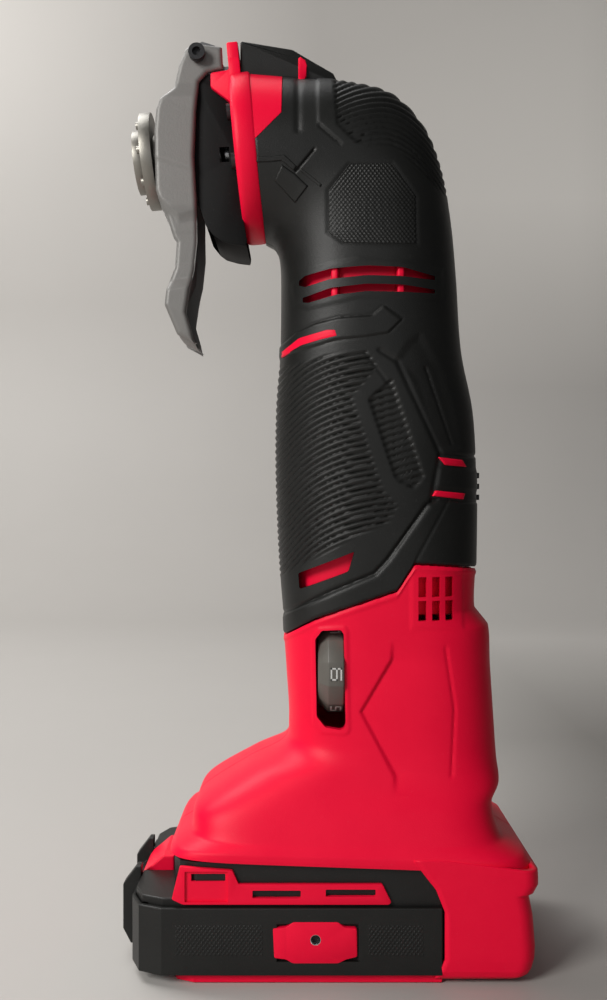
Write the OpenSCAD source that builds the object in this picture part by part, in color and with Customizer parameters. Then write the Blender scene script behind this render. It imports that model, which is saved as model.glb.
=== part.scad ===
// Cordless oscillating multi tool with a slide-on battery.
// Frame: z = 0 is the battery's flat bottom, +Z runs up the handle, the blade spindle points to -X.
// The motor axis is x = 0, y = 0. The handle's two halves meet at y = 0.

/* [Head] */
// Tilt of the blade spindle below level, degrees
head_tilt = 5.5; // [3:0.5:7]
// Height of the spindle axis where it crosses the motor axis
spindle_z = 281.3; // [280.3:0.5:282.3]
// Radius of the spindle where the front bearing holds it
spindle_r = 6; // [5.6:0.1:6.2]
// Radius of the pinned blade holder
holder_r = 16.5; // [16:0.25:17]
// Radius of the outer clamp flange
flange_r = 10.8; // [10.4:0.1:10.9]
// Circle diameter of the eight accessory pins
pin_pcd = 27.2; // [27:0.1:27.6]
// Radius of one accessory pin
pin_r = 1.3; // [1.1:0.1:1.5]
// Travel of the blade holder when the lever is squeezed
clamp_travel = 3; // [2:0.25:3]

/* [Lever] */
// Half of the lever's width
lever_half = 17; // [16.5:0.25:17.5]
// Wall of the cast lever
lever_wall = 2.4; // [2:0.2:2.8]
// Radius of the pivot pin
pivot_r = 2; // [1.8:0.1:2.2]

/* [Handle] */
// Thickness of the rubber grip
grip_t = 2; // [1.6:0.2:2.2]
// Wall of the red housing
wall = 2.5; // [2:0.25:2.75]
// Radius of the motor can
motor_r = 18; // [17:0.25:18.25]
// Radius of the speed wheel over its corners
dial_r = 15.2; // [14.8:0.1:15.3]

/* [Battery] */
// Radius of one cell
cell_r = 9.2; // [9:0.05:9.25]
// Length of one cell
cell_l = 65; // [64:0.5:66]
// Number of cells side by side
cell_count = 5; // [5:1:5]

/* [Fits] */
// Running clearance on the radius
run = 0.05; // [0.02:0.01:0.08]
// Gap between neighbouring pieces of one body
fit = 0.15; // [0.1:0.05:0.2]
// Gap between pieces that move past each other
gap = 0.3; // [0.3:0.05:0.4]

/* [Hidden] */
$fn = 48;
eps = 0.02;
// The pack's half widths follow from the cell: bumper, shell and the narrow rear end.
pack_half = cell_l / 2 + 5.5;
neck_half = pack_half - 2;
rear_half = neck_half - 2;

// ---------- helpers ----------
module cx(x0, x1, r) translate([x0, 0, 0]) rotate([0, 90, 0]) cylinder(r = r, h = x1 - x0);
module cy(x, z, y0, y1, r) translate([x, y1, z]) rotate([90, 0, 0]) cylinder(r = r, h = y1 - y0);
module cz(x, y, z0, z1, r) translate([x, y, z0]) cylinder(r = r, h = z1 - z0);
module box(x0, x1, y0, y1, z0, z1) translate([x0, y0, z0]) cube([x1 - x0, y1 - y0, z1 - z0]);
module side(pts, y0, y1) translate([0, y1, 0]) rotate([90, 0, 0]) linear_extrude(y1 - y0) polygon(pts);
module tube_x(x0, x1, ro, ri) difference() { cx(x0, x1, ro); cx(x0 - 1, x1 + 1, ri); }
module tube_z(z0, z1, ro, ri) difference() { cz(0, 0, z0, z1, ro); cz(0, 0, z0 - 1, z1 + 1, ri); }
module head() translate([0, 0, spindle_z]) rotate([0, -head_tilt, 0]) children();
module both() { children(); mirror([0, 1, 0]) children(); }

// ---------- handle form: sections [front x, front z, back x, back z, half width, corner power] ----------
// The table is drawn for a spindle at form_axis; the head's sections follow the spindle's real height.
form_axis = 281.3;
head_from = 15;
FORM = [
  [-69, 39.4, 51, 38.6, pack_half + 0.2, 7], [-67, 41.6, 49, 41.4, pack_half, 7],
  [-62.4, 44.4, 40.6, 44.4, pack_half - 1.6, 6], [-60.2, 52.6, 39.3, 52.2, 33, 5],
  [-44, 63.2, 42.6, 58.5, 29.5, 4], [-31.5, 69.8, 42.4, 66, 27.6, 3.2], [-29.6, 78, 41.9, 75, 27, 3],
  [-30.5, 95, 40.5, 97, 27, 3], [-31.3, 107, 39.6, 111.5, 27.5, 3], [-31.6, 114, 35.2, 117, 28, 2.8],
  [-33.2, 135, 35.8, 135, 28.5, 2.6], [-34.3, 163, 36, 160, 29, 2.5], [-34.1, 186, 34.8, 184, 29.3, 2.5],
  [-32.7, 206, 30.7, 206, 29.5, 2.4], [-32.4, 228, 28.9, 232, 29.5, 2.4], [-32.7, 237, 27, 251.7, 29.5, 2.4],
  [-33.4, 241, 23.8, 268.9, 29.5, 2.4], [-34.3, 242.8, 17.9, 283.4, 29.6, 2.4],
  [-35, 243.8, 7, 294.5, 29.8, 2.4], [-35.8, 244.4, -8.1, 298.9, 30, 2.3],
  [-36.9, 244.9, -24, 300.6, 30, 2.2], [-38, 245.5, -43.6, 302.6, 30, 2.1]];
head_lift = spindle_z - form_axis;
ring_n = 14;
grip_from = 8;
foot_z = 39.4;
function sp(v, p) = sign(v) * pow(abs(v), 2 / p);
function ring(s, off, yc, n) =
  let (dx = s[2] - s[0], dz = s[3] - s[1], l = sqrt(dx * dx + dz * dz), a = l / 2 - off, b = s[4] - off,
       mx = (s[0] + s[2]) / 2, mz = (s[1] + s[3]) / 2)
  [for (k = [0:n]) let (t = 180 + 180 * k / n, u = (k == 0) ? -a : (k == n) ? a : a * sp(cos(t), s[5]),
    v = (k == 0 || k == n) ? yc : b * sp(sin(t), s[5])) [mx + u * dx / l, v, mz + u * dz / l]];
function shift(s, d) = [s[0], s[1] + d, s[2], s[3] + d, s[4], s[5]];
SECT = [for (i = [0:len(FORM) - 1]) i < head_from ? FORM[i] : shift(FORM[i], head_lift)];
// One half of the handle form, shrunk by off; yc is where its flat side lies, low lowers the first
// section and far draws the last stretch on by a share of its length.
module half_form(i0, i1, off, yc, low = 0, far = 0) {
  secs = concat([shift(SECT[i0], -low)], [for (i = [i0 + 1:i1]) SECT[i]]);
  m = ring_n + 1;
  last = len(secs) - 1;
  rings = [for (s = secs) ring(s, off, yc, ring_n)];
  pts = [for (i = [0:last], k = [0:ring_n])
    rings[i][k] + (i == last ? (rings[i][k] - rings[i - 1][k]) * far : [0, 0, 0])];
  sides = [for (i = [0:last - 1], k = [0:ring_n - 1]) each [
    [i * m + k, (i + 1) * m + k, (i + 1) * m + k + 1],
    [i * m + k, (i + 1) * m + k + 1, i * m + k + 1]]];
  flat = [for (i = [0:last - 1]) each [
    [i * m + ring_n, (i + 1) * m + ring_n, (i + 1) * m],
    [i * m + ring_n, (i + 1) * m, i * m]]];
  low_cap = [[for (k = [0:ring_n]) k]];
  top_cap = [[for (k = [ring_n:-1:0]) last * m + k]];
  polyhedron(points = pts, faces = concat(low_cap, sides, flat, top_cap));
}

// ---------- shapes shared by housing and grip ----------
EDGE = [[-50, 100], [-30.6, 107.5], [-21.3, 113.5], [-5, 119.8], [7, 124.3], [11.2, 132.4], [45, 130]];
function raise(p, d) = [for (q = p) [q[0], q[1] + d]];
module grip_zone(d, y0, y1) side(concat(raise(EDGE, d), [[45, 340], [-60, 340], [-60, 100 + d]]), y0, y1);
module red_zone(y0, y1) side(concat(EDGE, [[70, 130], [70, 30], [-90, 30], [-90, 100]]), y0, y1);
VENT_HI = [[-25, 225.3], [-14.9, 229.4], [-6.2, 230.8], [7.6, 230.1], [18.5, 227.4], [18.2, 225.2],
  [7.6, 226.8], [-6.2, 227.2], [-14.9, 226.2], [-24, 223.7]];
VENT_LO = [[-23.6, 222.2], [-14.5, 224.4], [-6.2, 225.2], [7.6, 224.8], [17.5, 223.6], [16.6, 220.8],
  [7.6, 221.4], [-6.2, 221.9], [-14.1, 220.3], [-22.6, 218.2]];
WINDOW = [[-26.3, 129.2], [-7.6, 137.4], [-10.4, 130.7], [-25.6, 124.3]];
DIAL_WIN = [[-18.6, 78.9], [-10.7, 78.9], [-10.7, 111.6], [-18.6, 111.6], [-21, 108.4], [-21, 82]];
switch_z0 = 146;
switch_z1 = 174;
// Screw places: x, z, depth of the boss towards each side
SCREWS = [[27, 138, 18.4], [-25.6, 206, 16.4], [24.6, 215, 16], [-45, 56.5, 22], [33, 60, 20], [32, 92, 18]];
boss_r = 3.7;
screw_r = 1.6;
screw_head_r = 2.9;
screw_head_y = 12;
vent_cols = [13, 17.6, 22.1];
vent_rows = [114.2, 122];
rail_y = 19.5;
rail_z = 44;
channel_y = 22.5;
channel_z = 50;
foot_x0 = 20.5;
foot_back = 50;
pocket_x = 28.6;

module red_half() {
  difference() {
    union() {
      intersection() { half_form(0, grip_from + 3, 0, -fit / 2); red_zone(-60, 1); }
      half_form(grip_from - 1, 21, grip_t + fit, -fit / 2);
    }
    difference() {
      half_form(0, 21, grip_t + wall, 1, 3, 0.2);
      for (s = SCREWS) cy(s[0], s[1], -s[2] - 6, 2, boss_r);
      for (z = [158, 203]) box(-13, 13, -40, 2, z, z + 3);
      box(-58, 37, -40, 2, 30, rail_z);
    }
    box(-90, pocket_x, -rail_y, 2, 30, channel_z);
    box(-90, 34, -channel_y, 2, rail_z, channel_z);
    box(pocket_x - 1, 34, -channel_y, 2, 30, channel_z);
    cz(0, 0, 120, 214, motor_r + fit);
    side(VENT_HI, -60, -15);
    side(VENT_LO, -60, -15);
    for (x = vent_cols, z = vent_rows) box(x, x + 2.9, -60, -15, z, z + 6.8);
    box(30, 60, -7.2, 2, switch_z0, switch_z1);
    box(30, 60, -4.6, 2, switch_z0 - 8, switch_z1 + 8);
  }
  // rear heel that wraps the end of the pack
  difference() {
    heel();
    box(-10, pocket_x, -rear_half - 0.6, 2, -1, foot_z - 0.3);
    box(-10, pack_x1 + gap, -neck_half - gap, 2, -1, foot_z - 0.3);
    box(31.5, foot_back - 3, -rear_half - 0.6, 2, 4, foot_z + 4);
    box(-90, pocket_x, -rail_y, 2, 30, channel_z);
    box(-90, 34, -channel_y, 2, rail_z, channel_z);
  }
}
module heel() {
  intersection() {
    translate([0, 0, 1.6]) linear_extrude(foot_z + 1 - 1.6) polygon([
      [foot_x0, -fit / 2], [foot_x0, -pack_half - 0.1], [foot_back - 7, -pack_half - 0.1],
      [foot_back - 2.6, -pack_half + 2.2], [foot_back - 0.6, -pack_half + 7], [foot_back, -pack_half + 14],
      [foot_back, -fit / 2]]);
    side([[foot_x0, 1], [foot_back - 2, 1], [foot_back, 12], [foot_back - 2, 30], [foot_back + 2, 41],
      [foot_x0 - 12, 41], [foot_x0 - 9, foot_z - 0.2], [foot_x0, foot_z - 12]], -60, 2);
  }
}
module screw_holes(pilot) for (s = SCREWS) cy(s[0], s[1], -pilot, 1, screw_r + 0.05);

module housing_left() color("#c8141c") difference() {
  red_half();
  screw_holes(12);
  side(WINDOW, -60, -15);
  side(DIAL_WIN, -60, -15);
  dial_room();
}
module dial_room() box(dial_x0 - 0.5, dial_x1 + 0.5, -26, 1, dial_z - 17, dial_z + 17);
module housing_right() color("#c8141c") difference() {
  mirror([0, 1, 0]) red_half();
  for (s = SCREWS) cy(s[0], s[1], -1, 60, screw_r + 0.15);
  for (s = SCREWS) cy(s[0], s[1], screw_head_y, 60, screw_head_r + 0.2);
}
module grip_half() {
  difference() {
    intersection() { half_form(grip_from, 21, 0, -fit / 2, 8); grip_zone(0.3, -60, 1); }
    half_form(grip_from - 1, 21, grip_t, 1, 3, 0.3);
    side(VENT_HI, -60, -15);
    side(VENT_LO, -60, -15);
    box(28, 60, -7.2, 2, switch_z0 - 2, switch_z1 + 2);
  }
}
module grip_left() color("#1c1c1e") difference() { grip_half(); side(WINDOW, -60, -15); }
module grip_right() color("#1c1c1e") difference() {
  mirror([0, 1, 0]) grip_half();
  for (s = SCREWS) cy(s[0], s[1], screw_head_y, 60, screw_head_r + 0.2);
}
module housing_screws() color("#444444") for (s = SCREWS) difference() {
  union() {
    cy(s[0], s[1], -11, screw_head_y + eps, screw_r);
    cy(s[0], s[1], screw_head_y + 0.1, screw_head_y + 2.6, screw_head_r);
  }
  cy(s[0], s[1], screw_head_y + 1, screw_head_y + 3, 1.2);
}

// ---------- head: everything is placed along the spindle, x = 0 on the motor axis ----------
collar_x0 = -48.2;
collar_x1 = -41.6;
// Middle and half axes of the head's front face; its corner power is the last section's.
face_mid = -3.3;
face_up = 29.3;
face_out = 30.3;
face_power = 2.1;
bearing_f0 = -46.4;
bearing_w = 8;
bearing_or = 14;
bearing_r0 = -17;
rear_r = 4.5;
rear_or = 11;
case_r = bearing_or + 2.4;
pivot_x = -57.9;
pivot_z = 29.1;
lug_half = lever_half - lever_wall - gap;
cheek = 2.4;
lug_slot_z0 = 13;
lug_slot_z1 = 25.4;
screw_ring = 19.6;
SCREW_TURN = [65, 115, -65, -115];
module case_screw_places() rotate([0, 90, 0]) for (a = SCREW_TURN)
  rotate([0, 0, a]) translate([screw_ring, 0, 0]) children();
module face_plate(x0, x1) translate([x0, 0, 0]) rotate([90, 0, 90]) linear_extrude(x1 - x0)
  polygon([for (k = [0:47]) [face_out * sp(cos(7.5 * k), face_power),
    face_mid + face_up * sp(sin(7.5 * k), face_power)]]);
module head_collar() color("#c8141c") head() difference() {
  union() {
    face_plate(collar_x0, collar_x1);
    side([[-47.8, 16], [-43.9, 16], [-43.9, 32.4], [-47.8, 32.4]], -lug_half - cheek, lug_half + cheek);
    both() side([[-54.1, 22.6], [-54.5, 17.8], [-49.9, 13.6], [-47.6, 11.4], [-46, 11.7], [-46, 23.4]],
      -lug_half - cheek, -lug_half - fit);
  }
  cx(-60, -40, case_r + fit);
  translate([collar_x0 - 1, 0, 0]) case_screw_places() cylinder(r = 1.75, h = 20);
  box(-60, -40, -lug_half - fit, lug_half + fit, lug_slot_z0, lug_slot_z1);
  box(-60, -40, -8.5, 8.5, -27.9, -20.7);
}
module nose_bumper() color("#1c1c1e") translate([0, 0, head_lift]) side([[-46.2, 310.3], [-28.2, 307.4],
  [-21.2, 303.2], [-16, 300.6], [-22, 300.9], [-32.7, 301.9], [-43.9, 303.5], [-46.2, 303.6]], -13, 13);
module gear_case() color("#8d8f92") head() difference() {
  union() {
    cx(collar_x0 + 0.2, -34, case_r);
    cx(-41, -38.4, 19);
    box(-41, -38.4, -20.6, 20.6, -10.2, 10.2);
    cx(-34.5, -8, rear_or + 2.2);
    difference() {
      side([[-48, lug_slot_z0 + 0.4], [-41.9, lug_slot_z0 + 0.4], [-41.9, lug_slot_z1 - 0.8], [-49.4, 25.2],
        [-51.8, 32.6], [-56, 34.4], [-61, 32.4], [-62.6, 29], [-61, 25.4], [-57, 24.2], [-52, 22], [-50, 17]],
        -lug_half, lug_half);
      box(-70, -53, -4, 4, 20, 40);
    }
  }
  cx(bearing_f0, bearing_f0 + bearing_w + 0.4, bearing_or + run);
  cx(-60, bearing_f0 + 1, bearing_or - 2);
  cx(-39, -18.9, rear_or - 0.6);
  cx(bearing_r0 - 2, bearing_r0 + bearing_w + 0.4, rear_or + run);
  cx(-20, 0, rear_or - 2);
  cy(pivot_x, pivot_z, -30, 30, pivot_r + run);
  translate([-55, 0, 0]) case_screw_places() cylinder(r = 1.45, h = 30);
}
module gear_case_screws() color("#3a3a3c") head() case_screw_places() difference() {
  union() {
    translate([0, 0, collar_x0 - 1.6]) cylinder(r = 2.8, h = 1.5);
    translate([0, 0, collar_x0 - 0.2]) cylinder(r = 1.4, h = 10);
  }
  translate([0, 0, collar_x0 - 2.6]) cylinder(r = 1.2, h = 1.8);
}
module bearing_x(x0, w, ro, ri) {
  tube_x(x0, x0 + w, ro, ro - 2);
  tube_x(x0, x0 + w, ri + 2, ri);
  tube_x(x0 + 0.8, x0 + w - 0.8, ro - 1.9, ri + 1.9);
}
module spindle_bearing_front() color("#b9bcc0") head() bearing_x(bearing_f0 + 0.1, bearing_w, bearing_or, spindle_r + run);
module spindle_bearing_rear() color("#b9bcc0") head() bearing_x(bearing_r0, bearing_w, rear_or, rear_r + run);
flange_x0 = -83.9;
flange_t = 3;
holder_x0 = flange_x0 + flange_t + gap;
holder_x1 = holder_x0 + 3.8;
holder_wall = 2.2;
spindle_end = holder_x0 + holder_wall + clamp_travel + 0.7;
bore_r = 3;
module output_spindle() color("#a9adb2") head() difference() {
  union() {
    cx(spindle_end, -26, spindle_r);
    cx(bearing_f0 + bearing_w + 0.2, -35.6, 9);
    cx(-26.5, 7, rear_r);
  }
  cx(spindle_end - 1, -56, bore_r + run);
}
arm_z = 24;
ecc = 0.6;
ecc_or = 7.5;
fork_gap = ecc_or + 1.5;
module spindle_fork() color("#8f9398") head() difference() {
  union() {
    cx(-5, 5, 9);
    rotate([0, head_tilt, 0]) box(-4.5, 3.5, -fork_gap - 3.6, fork_gap + 3.6, -arm_z - 4, -5.5);
  }
  cx(-10, 10, rear_r + run);
  rotate([0, head_tilt, 0]) box(-12, 9, -fork_gap, fork_gap, -60, -14);
}
module clamp_flange() color("#7d7d7c") head() difference() {
  union() {
    cx(flange_x0, flange_x0 + flange_t, flange_r);
    cx(flange_x0 + 1, -57, bore_r);
  }
  cx(flange_x0 - 1, flange_x0 + 1.5, 2.2);
  box(flange_x0 - 1, flange_x0 + 0.8, flange_r - 2.4, 20, -20, 20);
}
sleeve_r = 9;
module blade_holder() color("#767675") head() difference() {
  union() {
    cx(holder_x0, holder_x1, holder_r);
    cx(holder_x1 - eps, -64, sleeve_r);
    rotate([0, 90, 0]) for (a = [0:45:315]) rotate([0, 0, a])
      translate([pin_pcd / 2, 0, holder_x0 - 1.2]) cylinder(r = pin_r, h = 2.2);
  }
  cx(-90, spindle_end, bore_r + gap);
  cx(holder_x0 + holder_wall, -60, spindle_r + run);
}
ring_x0 = -69.4;
module release_collar() color("#2c2c2e") head() difference() {
  union() {
    cx(ring_x0, ring_x0 + 2.2, 13);
    cx(ring_x0 + 2, -64.2, 11.4);
  }
  cx(-90, -50, sleeve_r + 0.02);
}
// Compression spring: one tube of wound wire, squeezed between the sleeve and the front bearing seal.
spring_r = 8.3;
spring_wire = 0.8;
spring_x0 = -62.8;
spring_x1 = -49;
spring_turns = 5;
coil_gap = (spring_x1 - spring_x0) / spring_turns - 2 * spring_wire;
echo(clamp_spring_gap = coil_gap);
module coil(r, w, x0, x1, turns, rings = 8, sides = 6) {
  count = turns * rings;
  pts = [for (i = [0:count], j = [0:sides - 1]) let (a = 360 * i / rings, x = x0 + (x1 - x0) * i / count,
    q = 360 * j / sides) [x + w * sin(q), (r + w * cos(q)) * cos(a), (r + w * cos(q)) * sin(a)]];
  body = [for (i = [0:count - 1], j = [0:sides - 1]) let (n = (j + 1) % sides) each [
    [i * sides + j, i * sides + n, (i + 1) * sides + n],
    [i * sides + j, (i + 1) * sides + n, (i + 1) * sides + j]]];
  caps = [[for (j = [sides - 1:-1:0]) j], [for (j = [0:sides - 1]) count * sides + j]];
  polyhedron(points = pts, faces = concat(body, caps));
}
module clamp_spring() color("#55585c") head() coil(spring_r, spring_wire, spring_x0, spring_x1, spring_turns);

// ---------- lever: side outline in the tool's own frame, measured from its pivot ----------
lever_px = pivot_x * cos(head_tilt) - pivot_z * sin(head_tilt);
lever_pz = spindle_z + pivot_x * sin(head_tilt) + pivot_z * cos(head_tilt);
LEVER_OUT = [[-5.1, 0.3], [-6.4, -3], [-8.2, -10.8], [-12.8, -14.5], [-14, -18.2], [-14.6, -25.7],
  [-14.2, -45.5], [-12.2, -52], [-10.7, -54], [-8.2, -61.7], [-7.2, -63.2], [-7.8, -71.7], [-10.6, -79],
  [-11.2, -84.5], [-7, -94.5], [-1.1, -97.7]];
LEVER_IN = [[-2, -93.7], [-3.9, -87.2], [-2.7, -79], [-1.2, -72.7], [-0.2, -63.1], [-0.4, -49.3],
  [-1.2, -34.1], [-0.6, -18.9], [0.4, -8.7], [3.4, -5.3], [8.6, -4.3], [8.2, 3.3], [-1.6, 4.5]];
function inset(p, d) = [for (q = p) [q[0] + d, q[1]]];
inner_half = lever_half - lever_wall;
pad_x = -10.8;
pad_z = -30.1;
module clamp_lever() color("#8a8c8d") translate([lever_px, 0, lever_pz]) {
  difference() {
    side(concat(LEVER_OUT, LEVER_IN), -lever_half, lever_half);
    side(concat([[-5.6, 25], [-5.6, -4.7]], inset([for (i = [2:13]) LEVER_OUT[i]], lever_wall + 0.3),
      [[-4.8, -91.7], [20, -91.7], [20, 25]]), -inner_half, inner_half);
    translate([-lever_px, 0, -lever_pz]) head() cx(-100, -50, 12);
    cy(0, 0, -30, 30, pivot_r + run);
    box(-20, 20, -inner_half, inner_half, -7.7, 25);
  }
  both() cy(pad_x, pad_z, 10, lever_half - 0.5, 1.6);
}
module lever_pin() color("#2a2a2c") difference() {
  union() {
    cy(lever_px, lever_pz, -lever_half - 0.6, lever_half + 1.6, pivot_r);
    cy(lever_px, lever_pz, -lever_half - 2.6, -lever_half - 0.2, 2.8);
    cy(lever_px, lever_pz, lever_half + 0.2, lever_half + 1.8, 3);
  }
  cy(lever_px, lever_pz, -lever_half - 3, -lever_half - 1, 1.5);
}
module lever_spring() color("#9a9da1") translate([lever_px, 0, lever_pz]) rotate([0, 0, 90])
  coil(pivot_r + 1, 0.4, -3.2, 3.2, 4);
module led_housing() color("#1c1c1e") head() difference() {
  side([[-57, -20.5], [-57.4, -27.8], [-55.6, -29.8], [-48.35, -31.4], [-48.35, -19.5]], -12.5, 12.5);
  box(-60, -40, -9, 9, -28.3, -10);
  both() side([[-60, -31], [-60, -18], [-52, -18]], 9, 14);
}
module led_lens() color("#e8eef2") head() side([[-49.2, -27.6], [-43.7, -27.6], [-43.7, -21], [-49.2, -21]],
  -8.2, 8.2);
module led_board() color("#2f6b3a") head() box(-43.4, -42, -8, 8, -27.4, -24.3);

// ---------- motor, on the z axis ----------
can_z0 = 152;
can_z1 = 212;
module motor_can() color("#8b8e92") difference() {
  tube_z(can_z0, can_z1, motor_r, motor_r - 1.5);
  both() box(-3, 3, -30, -10, can_z0 - 1, can_z0 + 4);
}
module motor_end_bell() color("#26282a") difference() {
  union() {
    cz(0, 0, can_z0 - 8, can_z0 - 0.2, motor_r);
    cz(0, 0, can_z0 - 12, can_z0 - 7, 8.6);
  }
  cz(0, 0, can_z0 - 13, can_z0 - 6, 6.5 + run);
  cz(0, 0, can_z0 - 6.2, can_z0 + 3, 12);
  both() box(-3.3, 3.3, -motor_r + 2.5, -5, can_z0 - 5, can_z0 + 4);
}
module motor_magnets() color("#3b3d40") both() difference() {
  tube_z(can_z0 + 14, can_z1 - 6, motor_r - 1.6, motor_r - 4.4);
  box(-30, -12, -30, 30, 140, 230);
  box(12, 30, -30, 30, 140, 230);
  box(-30, 30, -1, 30, 140, 230);
}
module brush_holders() color("#a8793a") both() difference() {
  box(-3, 3, -motor_r + 3, -5.6, can_z0 - 4.8, can_z0 + 1.6);
  box(-1.9, 1.9, -motor_r + 2, -motor_r + 10, can_z0 - 3.6, can_z0 + 0.4);
}
module bearing_z(z0, w, ro, ri) {
  tube_z(z0, z0 + w, ro, ro - 1.4);
  tube_z(z0, z0 + w, ri + 1.2, ri);
  tube_z(z0 + 0.6, z0 + w - 0.6, ro - 1.3, ri + 1.1);
}
shaft_r = 2.5;
// The stack turns inside the magnets with an air gap.
stack_r = motor_r - 5.2;
module motor_bearings() color("#b9bcc0") {
  bearing_z(can_z0 - 11.5, 5, 6.5, shaft_r + run);
  bearing_z(can_z1 - 4, 5, 6.5, shaft_r + run);
  tube_z(can_z1 - 4, can_z1 - 1, motor_r - 1.6, 6.55);
}
module armature_shaft() color("#b0b3b7") {
  cz(0, 0, can_z0 - 12, spindle_z - arm_z + 5, shaft_r);
}
module lamination_stack() color("#5d6064") difference() {
  cz(0, 0, can_z0 + 16, can_z1 - 9, stack_r);
  cz(0, 0, can_z0, can_z1, shaft_r + 0.02);
  for (a = [0:60:300]) rotate([0, 0, a]) box(8, stack_r + 1.2, -1, 1, can_z0 + 15, can_z1);
  for (a = [0:60:300]) rotate([0, 0, a]) cz(stack_r - 4.4, 0, can_z0 + 15, can_z1, 2.2);
}
module commutator() color("#b87333") difference() {
  cz(0, 0, can_z0 - 5, can_z0 + 8, 5.2);
  cz(0, 0, can_z0 - 6, can_z0 + 9, shaft_r + 0.02);
  for (a = [0:60:300]) rotate([0, 0, a]) box(4.2, 6, -0.3, 0.3, can_z0 - 6, can_z0 + 6);
}
fan_z = 217;
module cooling_fan() color("#2f3235") difference() {
  union() {
    cz(0, 0, fan_z - 0.6, fan_z + 11, 5);
    cz(0, 0, fan_z, fan_z + 1.6, 19);
    for (a = [0:40:320]) rotate([0, 0, a]) box(4, 18.6, -0.7, 0.7, fan_z, fan_z + 10);
  }
  cz(0, 0, fan_z - 2, fan_z + 14, shaft_r + 0.02);
}
hub_z = spindle_z - arm_z - 3;
module eccentric_hub() color("#9ea1a5") difference() {
  union() {
    cz(0, 0, hub_z - 14, hub_z - 0.4, 6);
    cz(ecc, 0, hub_z - 0.6, hub_z + 7.4, 4);
    for (a = [-20, 20]) rotate([0, 0, a]) box(-8.6, -3, -2.4, 2.4, hub_z - 13, hub_z - 7);
  }
  cz(0, 0, hub_z - 20, hub_z + 9, shaft_r + 0.02);
}
module eccentric_bearing() color("#b9bcc0") translate([ecc, 0, 0])
  bearing_z(hub_z + 0.1, 6, ecc_or, 4 + run);

// ---------- controls ----------
dial_x0 = -19.7;
dial_x1 = -11;
dial_y = -13.4;
dial_z = 97;
module speed_dial() color("#2a2b2d") translate([0, dial_y, dial_z]) difference() {
  union() {
    translate([dial_x0 + 1, 0, 0]) rotate([0, 90, 0]) cylinder(r = dial_r, h = dial_x1 - dial_x0 - 1, $fn = 13 - 1);
    translate([dial_x0, 0, 0]) rotate([0, 90, 0]) cylinder(r1 = dial_r - 1, r2 = dial_r, h = 1.02, $fn = 13 - 1);
  }
  cx(-30, 0, 3 + run);
}
module dial_potentiometer() color("#3c6e9c") translate([0, dial_y, dial_z]) {
  cx(dial_x0 + 0.6, dial_x1 + 1.2, 3);
  cx(dial_x1 + 1, dial_x1 + 7, 7);
}
module switch_slider() color("#1c1c1e") union() {
  box(31, 35.6, -6.6, 6.6, switch_z0 + 2, switch_z1 - 8);
  for (z = [0:2]) box(35.4, 36.9, -6, 6, switch_z0 + 8 + 3.8 * z, switch_z0 + 9.9 + 3.8 * z);
  box(29.4, 31.2, -3, 3, switch_z0 + 5, switch_z0 + 12);
}
module switch_module() color("#303236") difference() {
  box(motor_r + 1.2, 29.2, -7, 7, switch_z0 - 4, switch_z1);
  box(25, 30, -3.4, 3.4, switch_z0 + 4, switch_z1 - 6);
}
module control_board() color("#2f6b3a") {
  box(-3, -1.4, -22.2, 22.2, 74, 122);
  box(-1.5, 7, -10, 10, 88, 106);
  both() cz(2.4, -11, 74, 84, 4);
}
BLADES = [-12, -4, 4, 12];
module terminal_block() color("#26282a") difference() {
  box(21.4, 28.2, -17, 17, rail_z + 0.2 - 3.5, channel_z - 0.4);
  for (y = BLADES) box(8, 26, y - 0.45, y + 0.45, 42.4, 48.6);
}
module tool_terminals() color("#c9a55c") for (y = BLADES) box(9, 25.8, y - 0.4, y + 0.4, 42.5, 48.5);

// ---------- battery pack ----------
pack_x0 = -80.6;
pack_x1 = 19.8;
pack_end = 28.2;
BASE_SCREWS = [-62, 12];
base_screw_y = neck_half - 6;
band_z0 = 3;
band_z1 = 24.5;
pack_top = 38.4;
button_z0 = 22.9;
tower_x0 = -54;
tower_x1 = 20.6;
tower_top = channel_z - 0.6;
function plan(x0, x1, h, c) = [[x0 + c, -h], [x1, -h], [x1, h], [x0 + c, h], [x0 + 0.3 * c, h - 0.3 * c],
  [x0, h - c], [x0, -h + c], [x0 + 0.3 * c, -h + 0.3 * c]];
module slab(x0, x1, h, c, z0, z1) translate([0, 0, z0]) linear_extrude(z1 - z0) polygon(plan(x0, x1, h, c));
module battery_base() color("#c8141c") difference() {
  union() {
    slab(pack_x0 + 13, pack_x1, pack_half - 2, 8, 0, 2.8);
    slab(pack_x1 - 1, pack_end, rear_half - 0.4, 2, 0, 2.8);
  }
  both() for (x = BASE_SCREWS) cz(x, -base_screw_y, -1, 4, 2.6 + fit);
}
module battery_shell() color("#1c1c1e") difference() {
  union() {
    slab(pack_x0 + 1.2, pack_x1, neck_half, 10, band_z0, 27);
    slab(pack_x0 + 14, pack_x1, neck_half, 8, 26.9, pack_top);
    slab(pack_x1 - 1, pack_end, rear_half, 2, band_z0, pack_top);
    box(tower_x0, tower_x1, -rail_y + gap, rail_y - gap, pack_top - 1, tower_top);
    box(tower_x0, tower_x1, -channel_y + gap, channel_y - gap, rail_z + gap, tower_top);
  }
  box(-76.4, 19.4, -neck_half + 2.2, neck_half - 2.2, band_z0 - 1, band_z1);
  box(19, pack_end - 2, -rear_half + 3, rear_half - 3, band_z0 - 1, band_z1);
  box(-50, 18, -16, 16, 24, tower_top - 2);
  for (y = BLADES) box(8, 22, y - 1.3, y + 1.3, 41.4, tower_top + 1);
  box(-90, -64, -11.3, 11.3, button_z0 - 0.4, 32.5);
  both() for (x = BASE_SCREWS) cz(x, -base_screw_y, 0, 14, 1.4);
}
module band(h, d) slab(pack_x0 + d, pack_x1 - 0.2, h, 11, band_z0 + 0.1, band_z1);
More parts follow.
